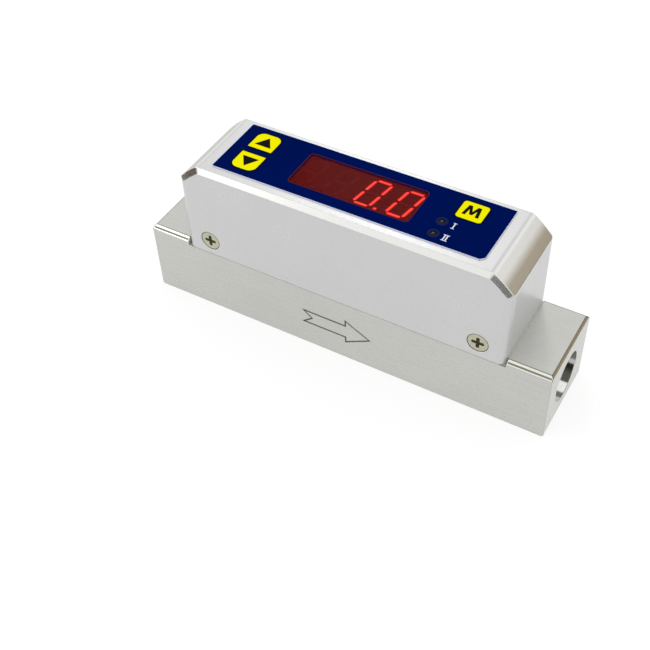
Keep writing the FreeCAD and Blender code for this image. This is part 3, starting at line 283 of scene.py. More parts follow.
class Smudge(Effect):
    """Broad soft patches, as handling and cleaning leave."""

    name = "smudge"
    takes = (Port("Breadth", value=60.0),)
    gives = (Port("Smudge"),)
    detail = 2.0

    def wire(self, tree: Tree, inputs: Node, outputs: Node) -> None:
        """Slow noise on Object coordinates."""
        place = tree.add("TexCoord").outputs["Object"]
        noise = tree.add("TexNoise", {"Vector": place, "Scale": inputs.outputs["Breadth"],
                                      "Detail": self.detail})
        tree.put(outputs.inputs["Smudge"], noise.outputs[0])


class Milled(Effect):
    """Marks upper faces that lie along no axis: slopes and bevels, milled last."""

    name = "milled_faces"
    gives = (Port("Milled"),)
    main_share = (0.93, 0.96)
    least_rise = (0.15, 0.25)

    def wire(self, tree: Tree, inputs: Node, outputs: Node) -> None:
        """Takes the true normal's largest share, 1 on a main face, and its rise."""
        true = tree.add("NewGeometry").outputs["True Normal"]
        size = tree.add("VectorMath", {0: true}, operation="ABSOLUTE").outputs[0]
        x, y, z = tree.add("SeparateXYZ", {0: size}).outputs
        largest = tree.math("MAXIMUM", tree.math("MAXIMUM", x, y), z)
        askew = tree.span(largest, 1.0, 0.0, *self.main_share)
        rise = tree.add("SeparateXYZ", {0: true}).outputs[2]
        risen = tree.span(rise, 0.0, 1.0, *self.least_rise)
        tree.put(outputs.inputs["Milled"], tree.math("MULTIPLY", askew, risen))


EDGE_WEAR_AND_REFLECTION, GRAIN, PITS, SMUDGE, MILLED = EdgeWearAndReflection(), Grain(), Pits(), Smudge(), Milled()


class Direction(Enum):
    """Which way a grain runs, as squeezes along X, Y and Z."""

    EVEN = (1.0, 1.0, 1.0)
    LENGTHWISE = (0.03, 1.0, 1.0)
    UPRIGHT = (1.0, 1.0, 0.03)


def empty_material(name: str) -> tuple[Material, Tree]:
    """A material with no nodes, and its tree."""
    material = bpy.data.materials.new(name)
    material.use_nodes = True
    material.node_tree.nodes.clear()
    return material, Tree(material.node_tree)


def new_material(name: str) -> tuple[Material, Tree, Node]:
    """A material with only its shader and its output.

    Args:
        name: The material's name.

    Returns:
        The material, its tree and its Principled shader.
    """
    material, tree = empty_material(name)
    shader = tree.add("BsdfPrincipled")
    tree.add("OutputMaterial", {"Surface": shader.outputs[0]})
    return material, tree, shader


@dataclass(frozen=True)
class Worked:
    """What metals and mouldings share: two tones, mixed by grain and broad patches."""

    name: str
    colour: Colour
    shade: Colour
    roughness: tuple[float, float] = (0.4, 0.5)
    direction: Direction = Direction.EVEN
    fineness: float = 3000.0
    bump: float = 0.1
    depth: float = 0.00002
    patches: float = 80.0
    grain_share: float = 0.5

    def noises(self, tree: Tree) -> tuple[NodeSocket, NodeSocket]:
        """The grain, and its mix with the patches."""
        along = dict(zip(("Along_X", "Along_Y", "Along_Z"), self.direction.value))
        grain = GRAIN.place(tree, Fineness=self.fineness, **along).outputs["Grain"]
        smudge = SMUDGE.place(tree, Breadth=self.patches).outputs["Smudge"]
        fine = tree.math("MULTIPLY", grain, self.grain_share)
        broad = tree.math("MULTIPLY", smudge, 1 - self.grain_share)
        return grain, tree.math("ADD", fine, broad)

    def tones(self, tree: Tree, mixed: object) -> tuple[NodeSocket, ...]:
        """The share of the brighter tone, the colour and the roughness."""
        tone = tree.spread(mixed, 0.0, 1.0)
        colour = tree.blend(tone, opaque(self.shade), opaque(self.colour))
        return tone, colour, tree.spread(mixed, self.roughness[1], self.roughness[0])

    def raise_bumps(self, tree: Tree, shader: Node, given: dict) -> None:
        """Joins a bump to the shader, with the height and normal that are given."""
        bump = tree.add("Bump", {"Strength": self.bump, "Distance": self.depth, **given})
        tree.put(shader.inputs["Normal"], bump.outputs[0])


@dataclass(frozen=True)
class Metal(Worked):
    """A metal finish: how it is coloured, how rough it is and how its surface was worked."""

    roughness: tuple[float, float] = (0.3, 0.4)
    fineness: float = 4000.0
    patches: float = 60.0
    grain_share: float = 0.6
    pits: float = 0.0
    edge: float = 0.0002
    wear_and_reflection: Colour = (0.85, 0.85, 0.84)
    wear_and_reflection_share: float = 0.5
    edge_sharpness: float = 4.0
    reflection_upper_only: bool = False
    metallic: float = 1.0
    milled: Colour | None = None
    milled_roughness: float = 0.16

    def material(self) -> Material:
        """The finish as a material."""
        material, tree, shader = new_material(self.name)
        grain, mixed = self.noises(tree)
        wear_and_reflection = EDGE_WEAR_AND_REFLECTION.place(tree, Radius=self.edge, Sharpness=self.edge_sharpness)
        height = grain
        if self.pits:
            pits = PITS.place(tree, Fineness=self.fineness)
            share = tree.math("MULTIPLY", pits.outputs["Glint"], self.pits)
            mixed = tree.math("ADD", tree.math("MULTIPLY", mixed, 1 - self.pits), share)
            height = tree.math("ADD", grain, pits.outputs["Pit"])
        _, colour, roughness = self.tones(tree, mixed)
        shader.inputs["Metallic"].default_value = self.metallic
        if self.milled is not None:
            milled = MILLED.place(tree).outputs["Milled"]
            colour = tree.blend(milled, colour, opaque(self.milled))
            tree.put(shader.inputs["Metallic"], tree.span(milled, self.metallic, 1.0))
            change = tree.math("SUBTRACT", self.milled_roughness, roughness)
            roughness = tree.math("ADD", roughness, tree.math("MULTIPLY", milled, change))
        # Edge colour: real wear on most metals, a painted dark reflection on the block's upper
        # edges.
        rubbed_and_reflected = tree.math("MULTIPLY", wear_and_reflection.outputs["Edge"], self.wear_and_reflection_share)
        if self.reflection_upper_only:
            rubbed_and_reflected = tree.math("MULTIPLY", rubbed_and_reflected, wear_and_reflection.outputs["Upper"])
        tree.put(shader.inputs["Base Color"], tree.blend(rubbed_and_reflected, colour, opaque(self.wear_and_reflection)))
        tree.put(shader.inputs["Roughness"], roughness)
        self.raise_bumps(tree, shader, {"Height": height, "Normal": wear_and_reflection.outputs["Normal"]})
        return material


@dataclass(frozen=True)
class Moulding(Worked):
    """A moulded, printed or coated finish."""

    specular: float = 0.5
    coat: float = 0.0
    alpha: float = 1.0
    glow: Colour | None = None
    glow_strength: float = 0.0
    glow_dimmed: float = 0.88

    def material(self) -> Material:
        """The finish as a material."""
        material, tree, shader = new_material(self.name)
        grain, mixed = self.noises(tree)
        tone, colour, roughness = self.tones(tree, mixed)
        tree.put(shader.inputs["Base Color"], colour)
        tree.put(shader.inputs["Roughness"], roughness)
        shader.inputs["Specular IOR Level"].default_value = self.specular
        shader.inputs["Coat Weight"].default_value = self.coat
        shader.inputs["Alpha"].default_value = self.alpha
        if self.glow is not None:
            dim = tuple(self.glow_dimmed * channel for channel in self.glow)
            glow = tree.blend(tone, opaque(dim), opaque(self.glow))
            tree.put(shader.inputs["Emission Color"], glow)
            shader.inputs["Emission Strength"].default_value = self.glow_strength
        self.raise_bumps(tree, shader, {"Height": grain})
        return material


@dataclass(frozen=True)
class PaintedRecessReflections:
    """A recess wall with painted reflections, in tones that change round the port's axis in bands
    along it.
    """

    name: str
    reflection_bands: tuple[tuple[float, Colour], ...]
    axis_z: float = 0.009
    roughness: float = 0.45
    specular: float = 0.2
    # The glow is painted light, to keep the painted reflections bright.
    glow: float = 0.3

    def material(self) -> Material:
        """Painted reflections as a material. A band: an angle in degrees from +Y to +Z, and its
        tone.
        """
        material, tree, shader = new_material(self.name)
        place = tree.add("SeparateXYZ", {0: tree.add("TexCoord").outputs["Object"]}).outputs
        rise = tree.math("SUBTRACT", place[2], self.axis_z)
        turn = tree.math("ARCTAN2", rise, place[1])
        share = tree.span(turn, 0.0, 1.0, -math.pi, math.pi)
        ramp = tree.add("ValToRGB", {0: share})
        stops = ramp.color_ramp.elements
        for stop, (angle, tone) in zip(stops, (self.reflection_bands[0], self.reflection_bands[-1])):
            stop.position, stop.color = angle / 360 + 0.5, opaque(tone)
        for angle, tone in self.reflection_bands[1:-1]:
            stops.new(angle / 360 + 0.5).color = opaque(tone)
        tree.put(shader.inputs["Base Color"], ramp.outputs[0])
        # Painted light: the wall also glows in its painted tones.
        tree.put(shader.inputs["Emission Color"], ramp.outputs[0])
        shader.inputs["Emission Strength"].default_value = self.glow
        shader.inputs["Roughness"].default_value = self.roughness
        shader.inputs["Specular IOR Level"].default_value = self.specular
        return material


Finish = Metal | Moulding | PaintedRecessReflections

# The block's near-black edge colour is a painted dark reflection along its upper edges.
BLOCK = Metal("machined_block", (0.61, 0.61, 0.58), (0.56, 0.56, 0.53), (0.24, 0.32),
              Direction.LENGTHWISE, 2600.0, bump=0.05, edge=0.00034, wear_and_reflection=(0.09, 0.08, 0.05),
              wear_and_reflection_share=1.0, edge_sharpness=160.0, reflection_upper_only=True, metallic=0.4,
              milled=(0.82, 0.82, 0.77), milled_roughness=0.14)
# Tones of the painted reflections on the ports' recess walls.
PALE_REFLECTION, GREY_REFLECTION = srgb(200, 200, 200), srgb(116, 117, 110)
BRIGHT_REFLECTION, DULL_REFLECTION = srgb(255, 255, 252), srgb(90, 92, 80)
DARK_REFLECTION = srgb(34, 36, 26)
RECESS_REFLECTIONS = PaintedRecessReflections("recess_painted_reflections", (
    (-150, PALE_REFLECTION), (-106, PALE_REFLECTION), (-101, GREY_REFLECTION), (-89, GREY_REFLECTION),
    (-84, BRIGHT_REFLECTION), (-63, BRIGHT_REFLECTION), (-59, DULL_REFLECTION), (-42, DULL_REFLECTION),
    (-28, DARK_REFLECTION), (-19, DARK_REFLECTION), (-14, PALE_REFLECTION), (-7, PALE_REFLECTION),
    (-1, GREY_REFLECTION), (50, DULL_REFLECTION), (120, PALE_REFLECTION),
))
COVER = Metal("blasted_cover", (0.66, 0.665, 0.66), (0.61, 0.615, 0.61), (0.27, 0.36),
              fineness=4200.0, bump=0.16, pits=0.25, edge=0.0003, wear_and_reflection=(0.76, 0.76, 0.75),
              metallic=0.4, milled=(0.8, 0.795, 0.775), milled_roughness=0.24)
SCREWS = Metal("nickel_screws", (0.56, 0.55, 0.43), (0.42, 0.41, 0.31), (0.22, 0.34),
               fineness=3000.0, edge=0.00008, wear_and_reflection=(0.85, 0.83, 0.72))
INK = partial(Moulding, roughness=(0.45, 0.55), specular=0.03, fineness=9000.0, bump=0.05)
DULL = partial(Moulding, roughness=(0.6, 0.7), specular=0.03, fineness=6000.0, bump=0.05)
FILM = INK("printed_film", srgb(0, 21, 90), srgb(0, 17, 80), roughness=(0.42, 0.55),
           specular=0.0, bump=0.06)
FILM_EDGE = INK("film_cut_edge", srgb(232, 232, 250), srgb(222, 222, 244),
                roughness=(0.4, 0.5), specular=0.1, bump=0.04)
RIM_INK = INK("window_rim_ink", srgb(88, 27, 42), srgb(72, 22, 46), bump=0.04)
RING_INK = INK("lamp_ring_ink", srgb(26, 30, 82), srgb(18, 24, 74), bump=0.04)
YELLOW_INK = INK("yellow_ink", srgb(255, 251, 8), srgb(253, 245, 4), specular=0.0)
BLACK_INK = INK("black_ink", srgb(16, 10, 14), srgb(9, 7, 9), roughness=(0.5, 0.6))
WHITE_INK = INK("white_ink", srgb(240, 240, 248), srgb(228, 228, 238), roughness=(0.5, 0.6),
                specular=0.05)
GAP_SHADE = DULL("gap_shade", srgb(72, 70, 48), srgb(60, 58, 40))
GROOVE_INK = DULL("groove_ink", srgb(96, 88, 82), srgb(78, 70, 64))
# A dull grey-brown line, drawn along the middle of the deck's bevels.
BEVEL_LINE_TONE = DULL("bevel_tarnish", srgb(158, 154, 136), srgb(134, 128, 108),
                     roughness=(0.4, 0.5), specular=0.1, fineness=5000.0)
# Painted light over the shade in the cover's joints.
JOINT_LIGHT = DULL("joint_bead", srgb(205, 205, 198), srgb(190, 190, 182),
                  roughness=(0.5, 0.6), specular=0.1)
RED_FILTER = Moulding("red_filter", srgb(128, 21, 19), srgb(116, 18, 16), (0.12, 0.2),
                      specular=0.015, alpha=0.55, bump=0.02)
DISPLAY_FACE = Moulding("display_face", srgb(92, 24, 20), srgb(76, 19, 16), (0.5, 0.6),
                        specular=0.05, bump=0.15)
LIT = Moulding("digits_lit", srgb(235, 20, 18), srgb(215, 14, 13), specular=0.1,
               glow=srgb(255, 26, 20), glow_strength=1.6)
LIT_CORE = Moulding("digits_lit_core", srgb(255, 60, 52), srgb(250, 50, 44), specular=0.1,
                    glow=srgb(255, 84, 72), glow_strength=2.0)
UNLIT = Moulding("digits_unlit", srgb(104, 36, 32), srgb(92, 30, 27), specular=0.1)
LAMP_LENS = Moulding("lamp_lens", srgb(24, 26, 40), srgb(14, 16, 28), (0.12, 0.2),
                     specular=0.1, bump=0.03)
LAMP_GLASS = Moulding("lamp_glass", srgb(30, 34, 28), srgb(18, 22, 20), (0.2, 0.3),
                      specular=0.05, bump=0.02)
# A painted highlight on each lamp's glass.
LAMP_HIGHLIGHT = Moulding("lamp_painted_highlight", srgb(104, 108, 116), srgb(84, 88, 98), (0.3, 0.4),
                    specular=0.2, bump=0.05)
BLACK = Moulding("black_moulding", srgb(34, 34, 35), srgb(24, 24, 25), (0.45, 0.6), bump=0.3)
WHITE = Moulding("white_moulding", srgb(226, 224, 214), srgb(214, 211, 200), bump=0.15)
GREEN_BOARD = Moulding("circuit_board", srgb(26, 110, 62), srgb(18, 92, 50), (0.3, 0.42),
                       Direction.LENGTHWISE, 2600.0, bump=0.2)
BRASS = Metal("brass_posts", (0.78, 0.58, 0.27), (0.62, 0.45, 0.2), (0.2, 0.3),
              fineness=3000.0, edge=0.0001)
CANS = Metal("aluminium_cans", (0.78, 0.78, 0.79), (0.66, 0.66, 0.67), (0.28, 0.36),
             Direction.UPRIGHT, 3500.0, edge=0.0001)
RUBBER = Moulding("seal_rubber", srgb(28, 28, 28), srgb(18, 18, 18), (0.7, 0.85), bump=0.3)
CHIP_GLASS = Moulding("chip_glass", srgb(74, 82, 104), srgb(52, 60, 84), (0.05, 0.1),
                      coat=0.6, bump=0.02)
STEEL = Metal("steel_mesh", (0.6, 0.59, 0.57), (0.48, 0.47, 0.45), (0.3, 0.42),
              fineness=3500.0, edge=0.00008)
SPRING = Metal("spring_steel", (0.3, 0.3, 0.31), (0.2, 0.2, 0.21), (0.3, 0.45),
               fineness=3000.0, edge=0.00008, wear_and_reflection=(0.55, 0.55, 0.55))
SHELL = Metal("nickel_shell", (0.72, 0.7, 0.66), (0.6, 0.58, 0.54), (0.14, 0.22),
              fineness=2500.0, bump=0.05, edge=0.00012)
GOLD = Metal("gold_contacts", (0.92, 0.7, 0.3), (0.8, 0.58, 0.22), (0.18, 0.26),
             fineness=3500.0, edge=0.00006)
STEM = Moulding("key_stems", srgb(196, 196, 190), srgb(180, 180, 174), bump=0.15)

DRESSED_NODES: dict[Finish, tuple[str, ...]] = {
    BLOCK: ("flow_body",),
    COVER: ("cover",),
    SCREWS: ("cover_screws", "board_screws", "sensor_screws"),
    FILM: ("panel_film",),
    RED_FILTER: ("display_filter",),
    DISPLAY_FACE: ("display_housing",),
    UNLIT: ("display_segments",),
    LAMP_LENS: ("indicator_lamp_1", "indicator_lamp_2"),
    BLACK: ("lamp_collars", "board_headers", "sensor_header", "controller_chip", "line_driver_chip",
            "power_coil", "socket_insert", "socket_wafer", "link_header", "switch_base_up",
            "switch_base_down", "switch_base_mode"),
    WHITE: ("sensor_carrier",),
    GREEN_BOARD: ("display_board", "main_board", "sensor_board", "socket_board"),
    BRASS: ("board_standoffs",),
    CANS: ("can_capacitors",),
    RUBBER: ("sensor_seal",),
    CHIP_GLASS: ("sensor_chip",),
    STEEL: ("flow_conditioner",),
    SPRING: ("retaining_ring",),
    SHELL: ("socket_shell", "socket_nut"),
    GOLD: ("socket_contacts",),
    STEM: ("switch_stem_up", "switch_stem_down", "switch_stem_mode"),
}


class Wardrobe:
    """Makes each finish's material once, and dresses nodes and pieces in it."""

    def __init__(self) -> None:
        """Starts with no material made."""
        self.made: dict[str, Material] = {}

    def material(self, finish: Finish) -> Material:
        """The finish's material, made at its first use."""
        if finish.name not in self.made:
            self.made[finish.name] = finish.material()
        return self.made[finish.name]

    def dress_node(self, thing: Object, finish: Finish) -> None:
        """Puts a finish in the material slots that a CAD node already has."""
        if not thing.material_slots:
            thing.data.materials.append(self.material(finish))
        for place in thing.material_slots:
            place.material = self.material(finish)

    def make(self, mesh: BMesh, name: str, finish: Finish,
             smooth: bool = False, replaces: Sequence[str] = ()) -> None:
        """Turns a mesh in millimetres into a dressed piece of the meter, at the origin.

        Args:
            mesh: The finished shape, in its place.
            name: The piece's name.
            finish: What it is dressed in.
            smooth: Whether its faces are shaded smooth, apart from their sharp edges.
            replaces: The CAD nodes that it stands for.
        """
        bmesh.ops.remove_doubles(mesh, verts=mesh.verts, dist=MERGE_DISTANCE)
        bmesh.ops.recalc_face_normals(mesh, faces=mesh.faces)
        bmesh.ops.scale(mesh, verts=mesh.verts, vec=(MM, MM, MM))
        data = bpy.data.meshes.new(name)
        mesh.to_mesh(data)
        mesh.free()
        data.materials.append(self.material(finish))
        piece = bpy.data.objects.new(name, data)
        bpy.context.scene.collection.objects.link(piece)
        if smooth:
            data.shade_smooth()
            data.set_sharp_from_angle(angle=SHARP_ANGLE)
        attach(piece, METER)
        if replaces:
            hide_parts(*replaces)
        LOG.info("%s: %d faces", name, len(data.polygons))


def slab(mesh: BMesh, points: Iterable[Point], low: float, high: float,
         radii: Sequence[float] | float = 0.0, segments: int = 8) -> list[BMVert]:
    """Adds a flat piece with an outline seen from above.

    Args:
        mesh: The mesh to add it to.
        points: The outline's corners, anticlockwise.
        low: The level of its underside.
        high: The level of its top.
        radii: The rounding of each corner, or of all.
        segments: Steps in a rounded corner.

    Returns:
        The new vertices.
    """
    before = set(mesh.verts)
    corners = [mesh.verts.new((x, y, low)) for x, y in points]
    mesh.faces.new(corners)
    each = [radii] * len(corners) if isinstance(radii, (int, float)) else radii
    for corner, radius in zip(corners, each):
        if radius > 0:
            bmesh.ops.bevel(mesh, geom=[corner], offset=radius, affect="VERTICES",
                            segments=segments, profile=ROUND_PROFILE, material=-1)
    flat = [face for face in mesh.faces if not set(face.verts) & before]
    raised = bmesh.ops.extrude_face_region(mesh, geom=flat, use_keep_orig=True)
    top = [part for part in raised["geom"] if isinstance(part, BMVert)]
    bmesh.ops.translate(mesh, verts=top, vec=(0, 0, high - low))
    return [vert for vert in mesh.verts if vert not in before]


def disc(mesh: BMesh, middle: Point, radius: float, low: float, high: float,
         segments: int = 48) -> list[BMVert]:
    """Adds a flat round piece.

    Args:
        mesh: The mesh to add it to.
        middle: Where its middle is, seen from above.
        radius: Its radius.
        low: The level of its underside.
        high: The level of its top.
        segments: Steps round it.

    Returns:
        The new vertices.
    """
    place = Matrix.Translation((*middle, (low + high) / 2))
    made = bmesh.ops.create_cone(mesh, cap_ends=True, segments=segments, radius1=radius,
                                 radius2=radius, depth=high - low, matrix=place)
    return made["verts"]


def hollow(mesh: BMesh, verts: Iterable[BMVert], width: float) -> None:
    """Cuts the middle out of a flat piece with over four corners, and leaves a border.

    Args:
        mesh: The mesh that holds it.
        verts: The piece's vertices.
        width: The border's breadth.
    """
    own = set(verts)
    caps = [face for face in mesh.faces
            if len(face.verts) > SIDE_CORNERS and set(face.verts) <= own]
    bmesh.ops.inset_individual(mesh, faces=caps, thickness=width, use_even_offset=True)
    bmesh.ops.bridge_loops(mesh, edges=[edge for face in caps for edge in face.edges])
    bmesh.ops.delete(mesh, geom=caps, context="FACES_ONLY")


def rectangle(x: float, y: float, length: float, width: float) -> list[Point]:
    """The corners of a rectangle round its middle, anticlockwise from the lowest."""
    a, b = length / 2, width / 2
    return [(x - a, y - b), (x + a, y - b), (x + a, y + b), (x - a, y + b)]


def shifted(points: Iterable[Point], x: float, y: float) -> list[Point]:
    """An outline moved to a place."""
    return [(x + u, y + v) for u, v in points]


@dataclass
class Readout:
    """The four seven-segment digits behind the red filter, two of them lit."""

    middle_x: float = -1.0
    middle_y: float = 0.7
    pitch: float = 7.62
    count: int = 4
    height: float = 9.14
    width: float = 4.6
    slant_deg: float = 9.5
    stroke: float = 0.85
    gap: float = 0.3
    face: float = 40.65
    depth: float = 0.6
    point_side: float = 0.85
    point_offset: float = 3.325
    point_rounding: float = 0.25
    point_steps: int = 3
    core_share: float = 0.5
    layer: float = 0.02
    lit_digits: tuple[int, ...] = (2, 3)
    lit_bars: tuple[int, ...] = (0, 2, 3, 4, 5, 6)
    lit_points: tuple[int, ...] = (2,)

    def strokes(self) -> list[tuple[Point, Point]]:
        """The ends of a digit's seven bars: three level ones from the top, then four upright."""
        a, b = (self.width - self.stroke) / 2, (self.height - self.stroke) / 2
        level = [((-a, b), (a, b)), ((-a, 0), (a, 0)), ((-a, -b), (a, -b))]
        upright = [((-a, 0), (-a, b)), ((a, 0), (a, b)), ((-a, -b), (-a, 0)), ((a, -b), (a, 0))]
        return level + upright

    def digit_x(self, digit: int) -> float:
        """The middle of a digit, counted from the left."""
        return self.middle_x + (digit - (self.count - 1) / 2) * self.pitch

    def lean(self, points: Iterable[Point], x: float) -> list[Point]:
        """An outline leaned over by the slant, at a digit's middle."""
        slope = math.tan(math.radians(self.slant_deg))
        return [(x + u + v * slope, self.middle_y + v) for u, v in points]

    def bar(self, start: Point, end: Point, share: float = 1.0) -> list[Point]:
        """The six-sided outline of a bar between two places.

        Args:
            start: One end of the bar's middle line.
            end: Its other end.
            share: The part of the bar's breadth that the outline takes.

        Returns:
            The outline's corners.
        """
        length = math.dist(start, end)
        ux, uy = (end[0] - start[0]) / length, (end[1] - start[1]) / length
        h = share * self.stroke / 2
        g = self.gap / 2 + (1 - share) * self.stroke / 2
        shape = [(g, 0.0), (g + h, -h), (length - g - h, -h), (length - g, 0.0),
                 (length - g - h, h), (g + h, h)]
        return [(start[0] + a * ux - b * uy, start[1] + a * uy + b * ux) for a, b in shape]

    def point(self, mesh: BMesh, x: float, share: float, low: float, high: float) -> None:
        """Adds a digit's point, or a share of it as its bright core."""
        foot = (self.point_offset, -(self.height - self.stroke) / 2)
        place, side = self.lean([foot], x)[0], share * self.point_side
        slab(mesh, rectangle(*place, side, side), low, high, self.point_rounding * side,
             self.point_steps)

    def build(self, wardrobe: Wardrobe) -> None:
        """Makes the lit and the dark bars and points, in place of the CAD ones."""
        lit, core, dark = bmesh.new(), bmesh.new(), bmesh.new()
        low, top = self.face - self.depth, self.face + self.layer
        for digit in range(self.count):
            x = self.digit_x(digit)
            for number, (start, end) in enumerate(self.strokes()):
                shines = digit in self.lit_digits and number in self.lit_bars
                slab(lit if shines else dark, self.lean(self.bar(start, end), x), low, self.face)
                if shines:
                    inner = self.bar(start, end, self.core_share)
                    slab(core, self.lean(inner, x), self.face, top)
            shines = digit in self.lit_points
            self.point(lit if shines else dark, x, 1.0, low, self.face)
            if shines:
                self.point(core, x, self.core_share, self.face, top)
        for mesh, name, finish in ((lit, "lit_bars", LIT), (core, "bright_cores", LIT_CORE),
                                   (dark, "dark_bars", UNLIT)):
            wardrobe.make(mesh, f"readout_{name}", finish,
                          replaces=["display_segments"])


@dataclass
class KeyPrint:
    """One printed key on the film: a black outline, a yellow face and a black sign."""

    name: str
    x: float
    y: float
    length: float
    radii: tuple[float, float, float, float]
    sign: tuple[Point, ...]
    sign_shift: Point = (0.0, 0.0)
    width: float = 6.0
    level: float = 41.5
    ink: float = 0.01
    outline: float = 0.3
    least_radius: float = 0.08

    def layer(self, number: int, points: Iterable[Point],
              radii: Sequence[float] | float = 0.0) -> BMesh:
        """One layer of ink, counted up from the film."""
        mesh, low = bmesh.new(), self.level + number * self.ink
        slab(mesh, points, low, low + self.ink, radii)
        return mesh

    def build(self, wardrobe: Wardrobe) -> None:
        """Makes the key's three layers of ink."""
        m, (u, v) = 2 * self.outline, self.sign_shift
        outer = rectangle(self.x, self.y, self.length, self.width)
        inner = rectangle(self.x, self.y, self.length - m, self.width - m)
        inner_radii = [max(radius - self.outline, self.least_radius) for radius in self.radii]
        for part, mesh, ink in (
            ("outline", self.layer(0, outer, self.radii), BLACK_INK),
            ("face", self.layer(1, inner, inner_radii), YELLOW_INK),
            ("sign", self.layer(2, shifted(self.sign, self.x + u, self.y + v)), BLACK_INK),
        ):
            wardrobe.make(mesh, f"{self.name}_key_{part}", ink)


UP_SIGN = ((-2.05, -1.45), (2.05, -1.45), (0.05, 1.65))
DOWN_SIGN = ((-2.05, 1.45), (0.05, -1.65), (2.05, 1.45))
MODE_SIGN = (
    (-1.85, -1.55), (-1.1, -1.55), (-0.85, 0.35), (-0.32, -1.15), (0.32, -1.15), (0.85, 0.35),
    (1.1, -1.55), (1.85, -1.55), (1.4, 1.6), (0.62, 1.6), (0.0, -0.15), (-0.62, 1.6), (-1.4, 1.6),
)


@dataclass
class Panel:
    """What the film carries: three keys, two numerals, and the lamps behind their holes."""

    keys: tuple[KeyPrint, ...] = (
        KeyPrint("up", -25.7, 4.05, 6.5, (0.15, 0.15, 2.0, 2.0), UP_SIGN),
        KeyPrint("down", -25.7, -3.35, 6.5, (2.0, 2.0, 0.15, 0.15), DOWN_SIGN),
        KeyPrint("mode", 24.0, 4.05, 6.3, (1.0, 1.0, 1.0, 1.0), MODE_SIGN, (-0.05, 0.1)),
    )
    middle_y: float = 0.35
    film_length: float = 63.8
    film_width: float = 16.6
    film_foot: float = 41.15
    film_top: float = 41.4
    film_cut: float = 0.9
    film_rounding: float = 0.3
    edge_width: float = 0.04
    ink: float = 0.025
    window_x: float = -0.55
    window_length: float = 28.3
    window_width: float = 10.4
    window_radius: float = 0.8
    window_rim: float = 0.25
    numeral_x: float = 22.45
    lamp_x: float = 19.75
    lamps_y: tuple[float, float] = (-1.35, -5.35)
    numeral_drop: float = 0.2
    numeral_height: float = 1.85
    stem: float = 0.28
    serif: float = 0.17
    serif_length: float = 0.76
    stem_pitch: float = 0.57
    halo_radius: float = 1.3
    halo_bore: float = 0.75
    glass_radius: float = 0.93
    glass_rim_level: float = 41.2
    glass_dome: float = 0.12
    glass_steps: int = 40
    # The painted highlight on each lamp's glass.
    highlight_radius: float = 0.17
    highlight_shift: Point = (-0.12, 0.2)
    highlight_steps: int = 20

    def film_outline(self) -> list[Point]:
        """The film's outline, a hair outside it, with its bevelled corner."""
        a, b = self.film_length / 2 + self.edge_width, self.film_width / 2 + self.edge_width
        y, c = self.middle_y, self.film_cut
        return [(-a, y - b), (a - c, y - b), (a, y - b + c), (a, y + b), (-a, y + b)]

    def numeral(self, mesh: BMesh, strokes: int, y: float) -> None:
        """Adds a numeral made of upright strokes with serifs."""
        low, high = self.film_top, self.film_top + self.ink
        reach = (self.numeral_height - self.serif) / 2
        for i in range(strokes):
            x = self.numeral_x + (i - (strokes - 1) / 2) * self.stem_pitch
            slab(mesh, rectangle(x, y, self.stem, self.numeral_height - 2 * self.serif), low, high)
        length = self.serif_length + (strokes - 1) * self.stem_pitch
        for side in (-1, 1):
            slab(mesh, rectangle(self.numeral_x, y + side * reach, length, self.serif), low, high)

    def ring(self, mesh: BMesh, y: float) -> None:
        """Adds the printed ring round one lamp."""
        middle, low = (self.lamp_x, y), self.film_top
        made = disc(mesh, middle, self.halo_radius, low, low + self.ink)
        hollow(mesh, made, self.halo_radius - self.halo_bore)

    def cup(self, mesh: BMesh, y: float) -> None:
        """Adds a painted highlight: a pale spot on the top of the lamp's glass."""
        u, v = self.highlight_shift
        top = self.glass_rim_level + self.glass_dome
        disc(mesh, (self.lamp_x + u, y + v), self.highlight_radius, top - self.ink, top + self.ink,
             self.highlight_steps)

    def lamp_glass(self, mesh: BMesh, y: float) -> None:
        """Adds the domed glass that fills one lamp's hole in the film."""
        place = Matrix.Translation((self.lamp_x, y, self.glass_rim_level))
        made = bmesh.ops.create_uvsphere(mesh, u_segments=self.glass_steps, radius=1.0,
                                         v_segments=self.glass_steps // 2, matrix=place)
        flatten = (self.glass_radius, self.glass_radius, self.glass_dome)
        bmesh.ops.scale(mesh, verts=made["verts"], vec=flatten, space=place.inverted())

    def window(self, mesh: BMesh) -> None:
        """Adds the printed rim round the display's window."""
        rim, low = self.window_rim, self.film_top
        length, width = self.window_length + 2 * rim, self.window_width + 2 * rim
        outline = rectangle(self.window_x, self.middle_y, length, width)
        made = slab(mesh, outline, low, low + self.ink, self.window_radius + rim)
        hollow(mesh, made, rim)

    def cut_edge(self, mesh: BMesh) -> None:
        """Adds the film's pale cut edge."""
        made = slab(mesh, self.film_outline(), self.film_foot, self.film_top, self.film_rounding)
        hollow(mesh, made, 2 * self.edge_width)

    def build(self, wardrobe: Wardrobe) -> None:
        """Makes the keys' inks, the numerals, the lamps' glasses and the film's lines."""
        for key in self.keys:
            key.build(wardrobe)
        numerals, glass, rings, highlights, rim, edge = (bmesh.new() for _ in range(6))
        for strokes, y in enumerate(self.lamps_y, start=1):
            self.numeral(numerals, strokes, y - self.numeral_drop)
            self.lamp_glass(glass, y)
            self.ring(rings, y)
            self.cup(highlights, y)
        self.window(rim)
        self.cut_edge(edge)
        wardrobe.make(numerals, "lamp_numerals", WHITE_INK)
        wardrobe.make(glass, "lamp_glasses", LAMP_GLASS, smooth=True)
        wardrobe.make(rings, "lamp_rings", RING_INK)
        wardrobe.make(highlights, "lamp_highlights", LAMP_HIGHLIGHT)
        wardrobe.make(rim, "window_rim", RIM_INK)
        wardrobe.make(edge, "film_cut_edge", FILM_EDGE)


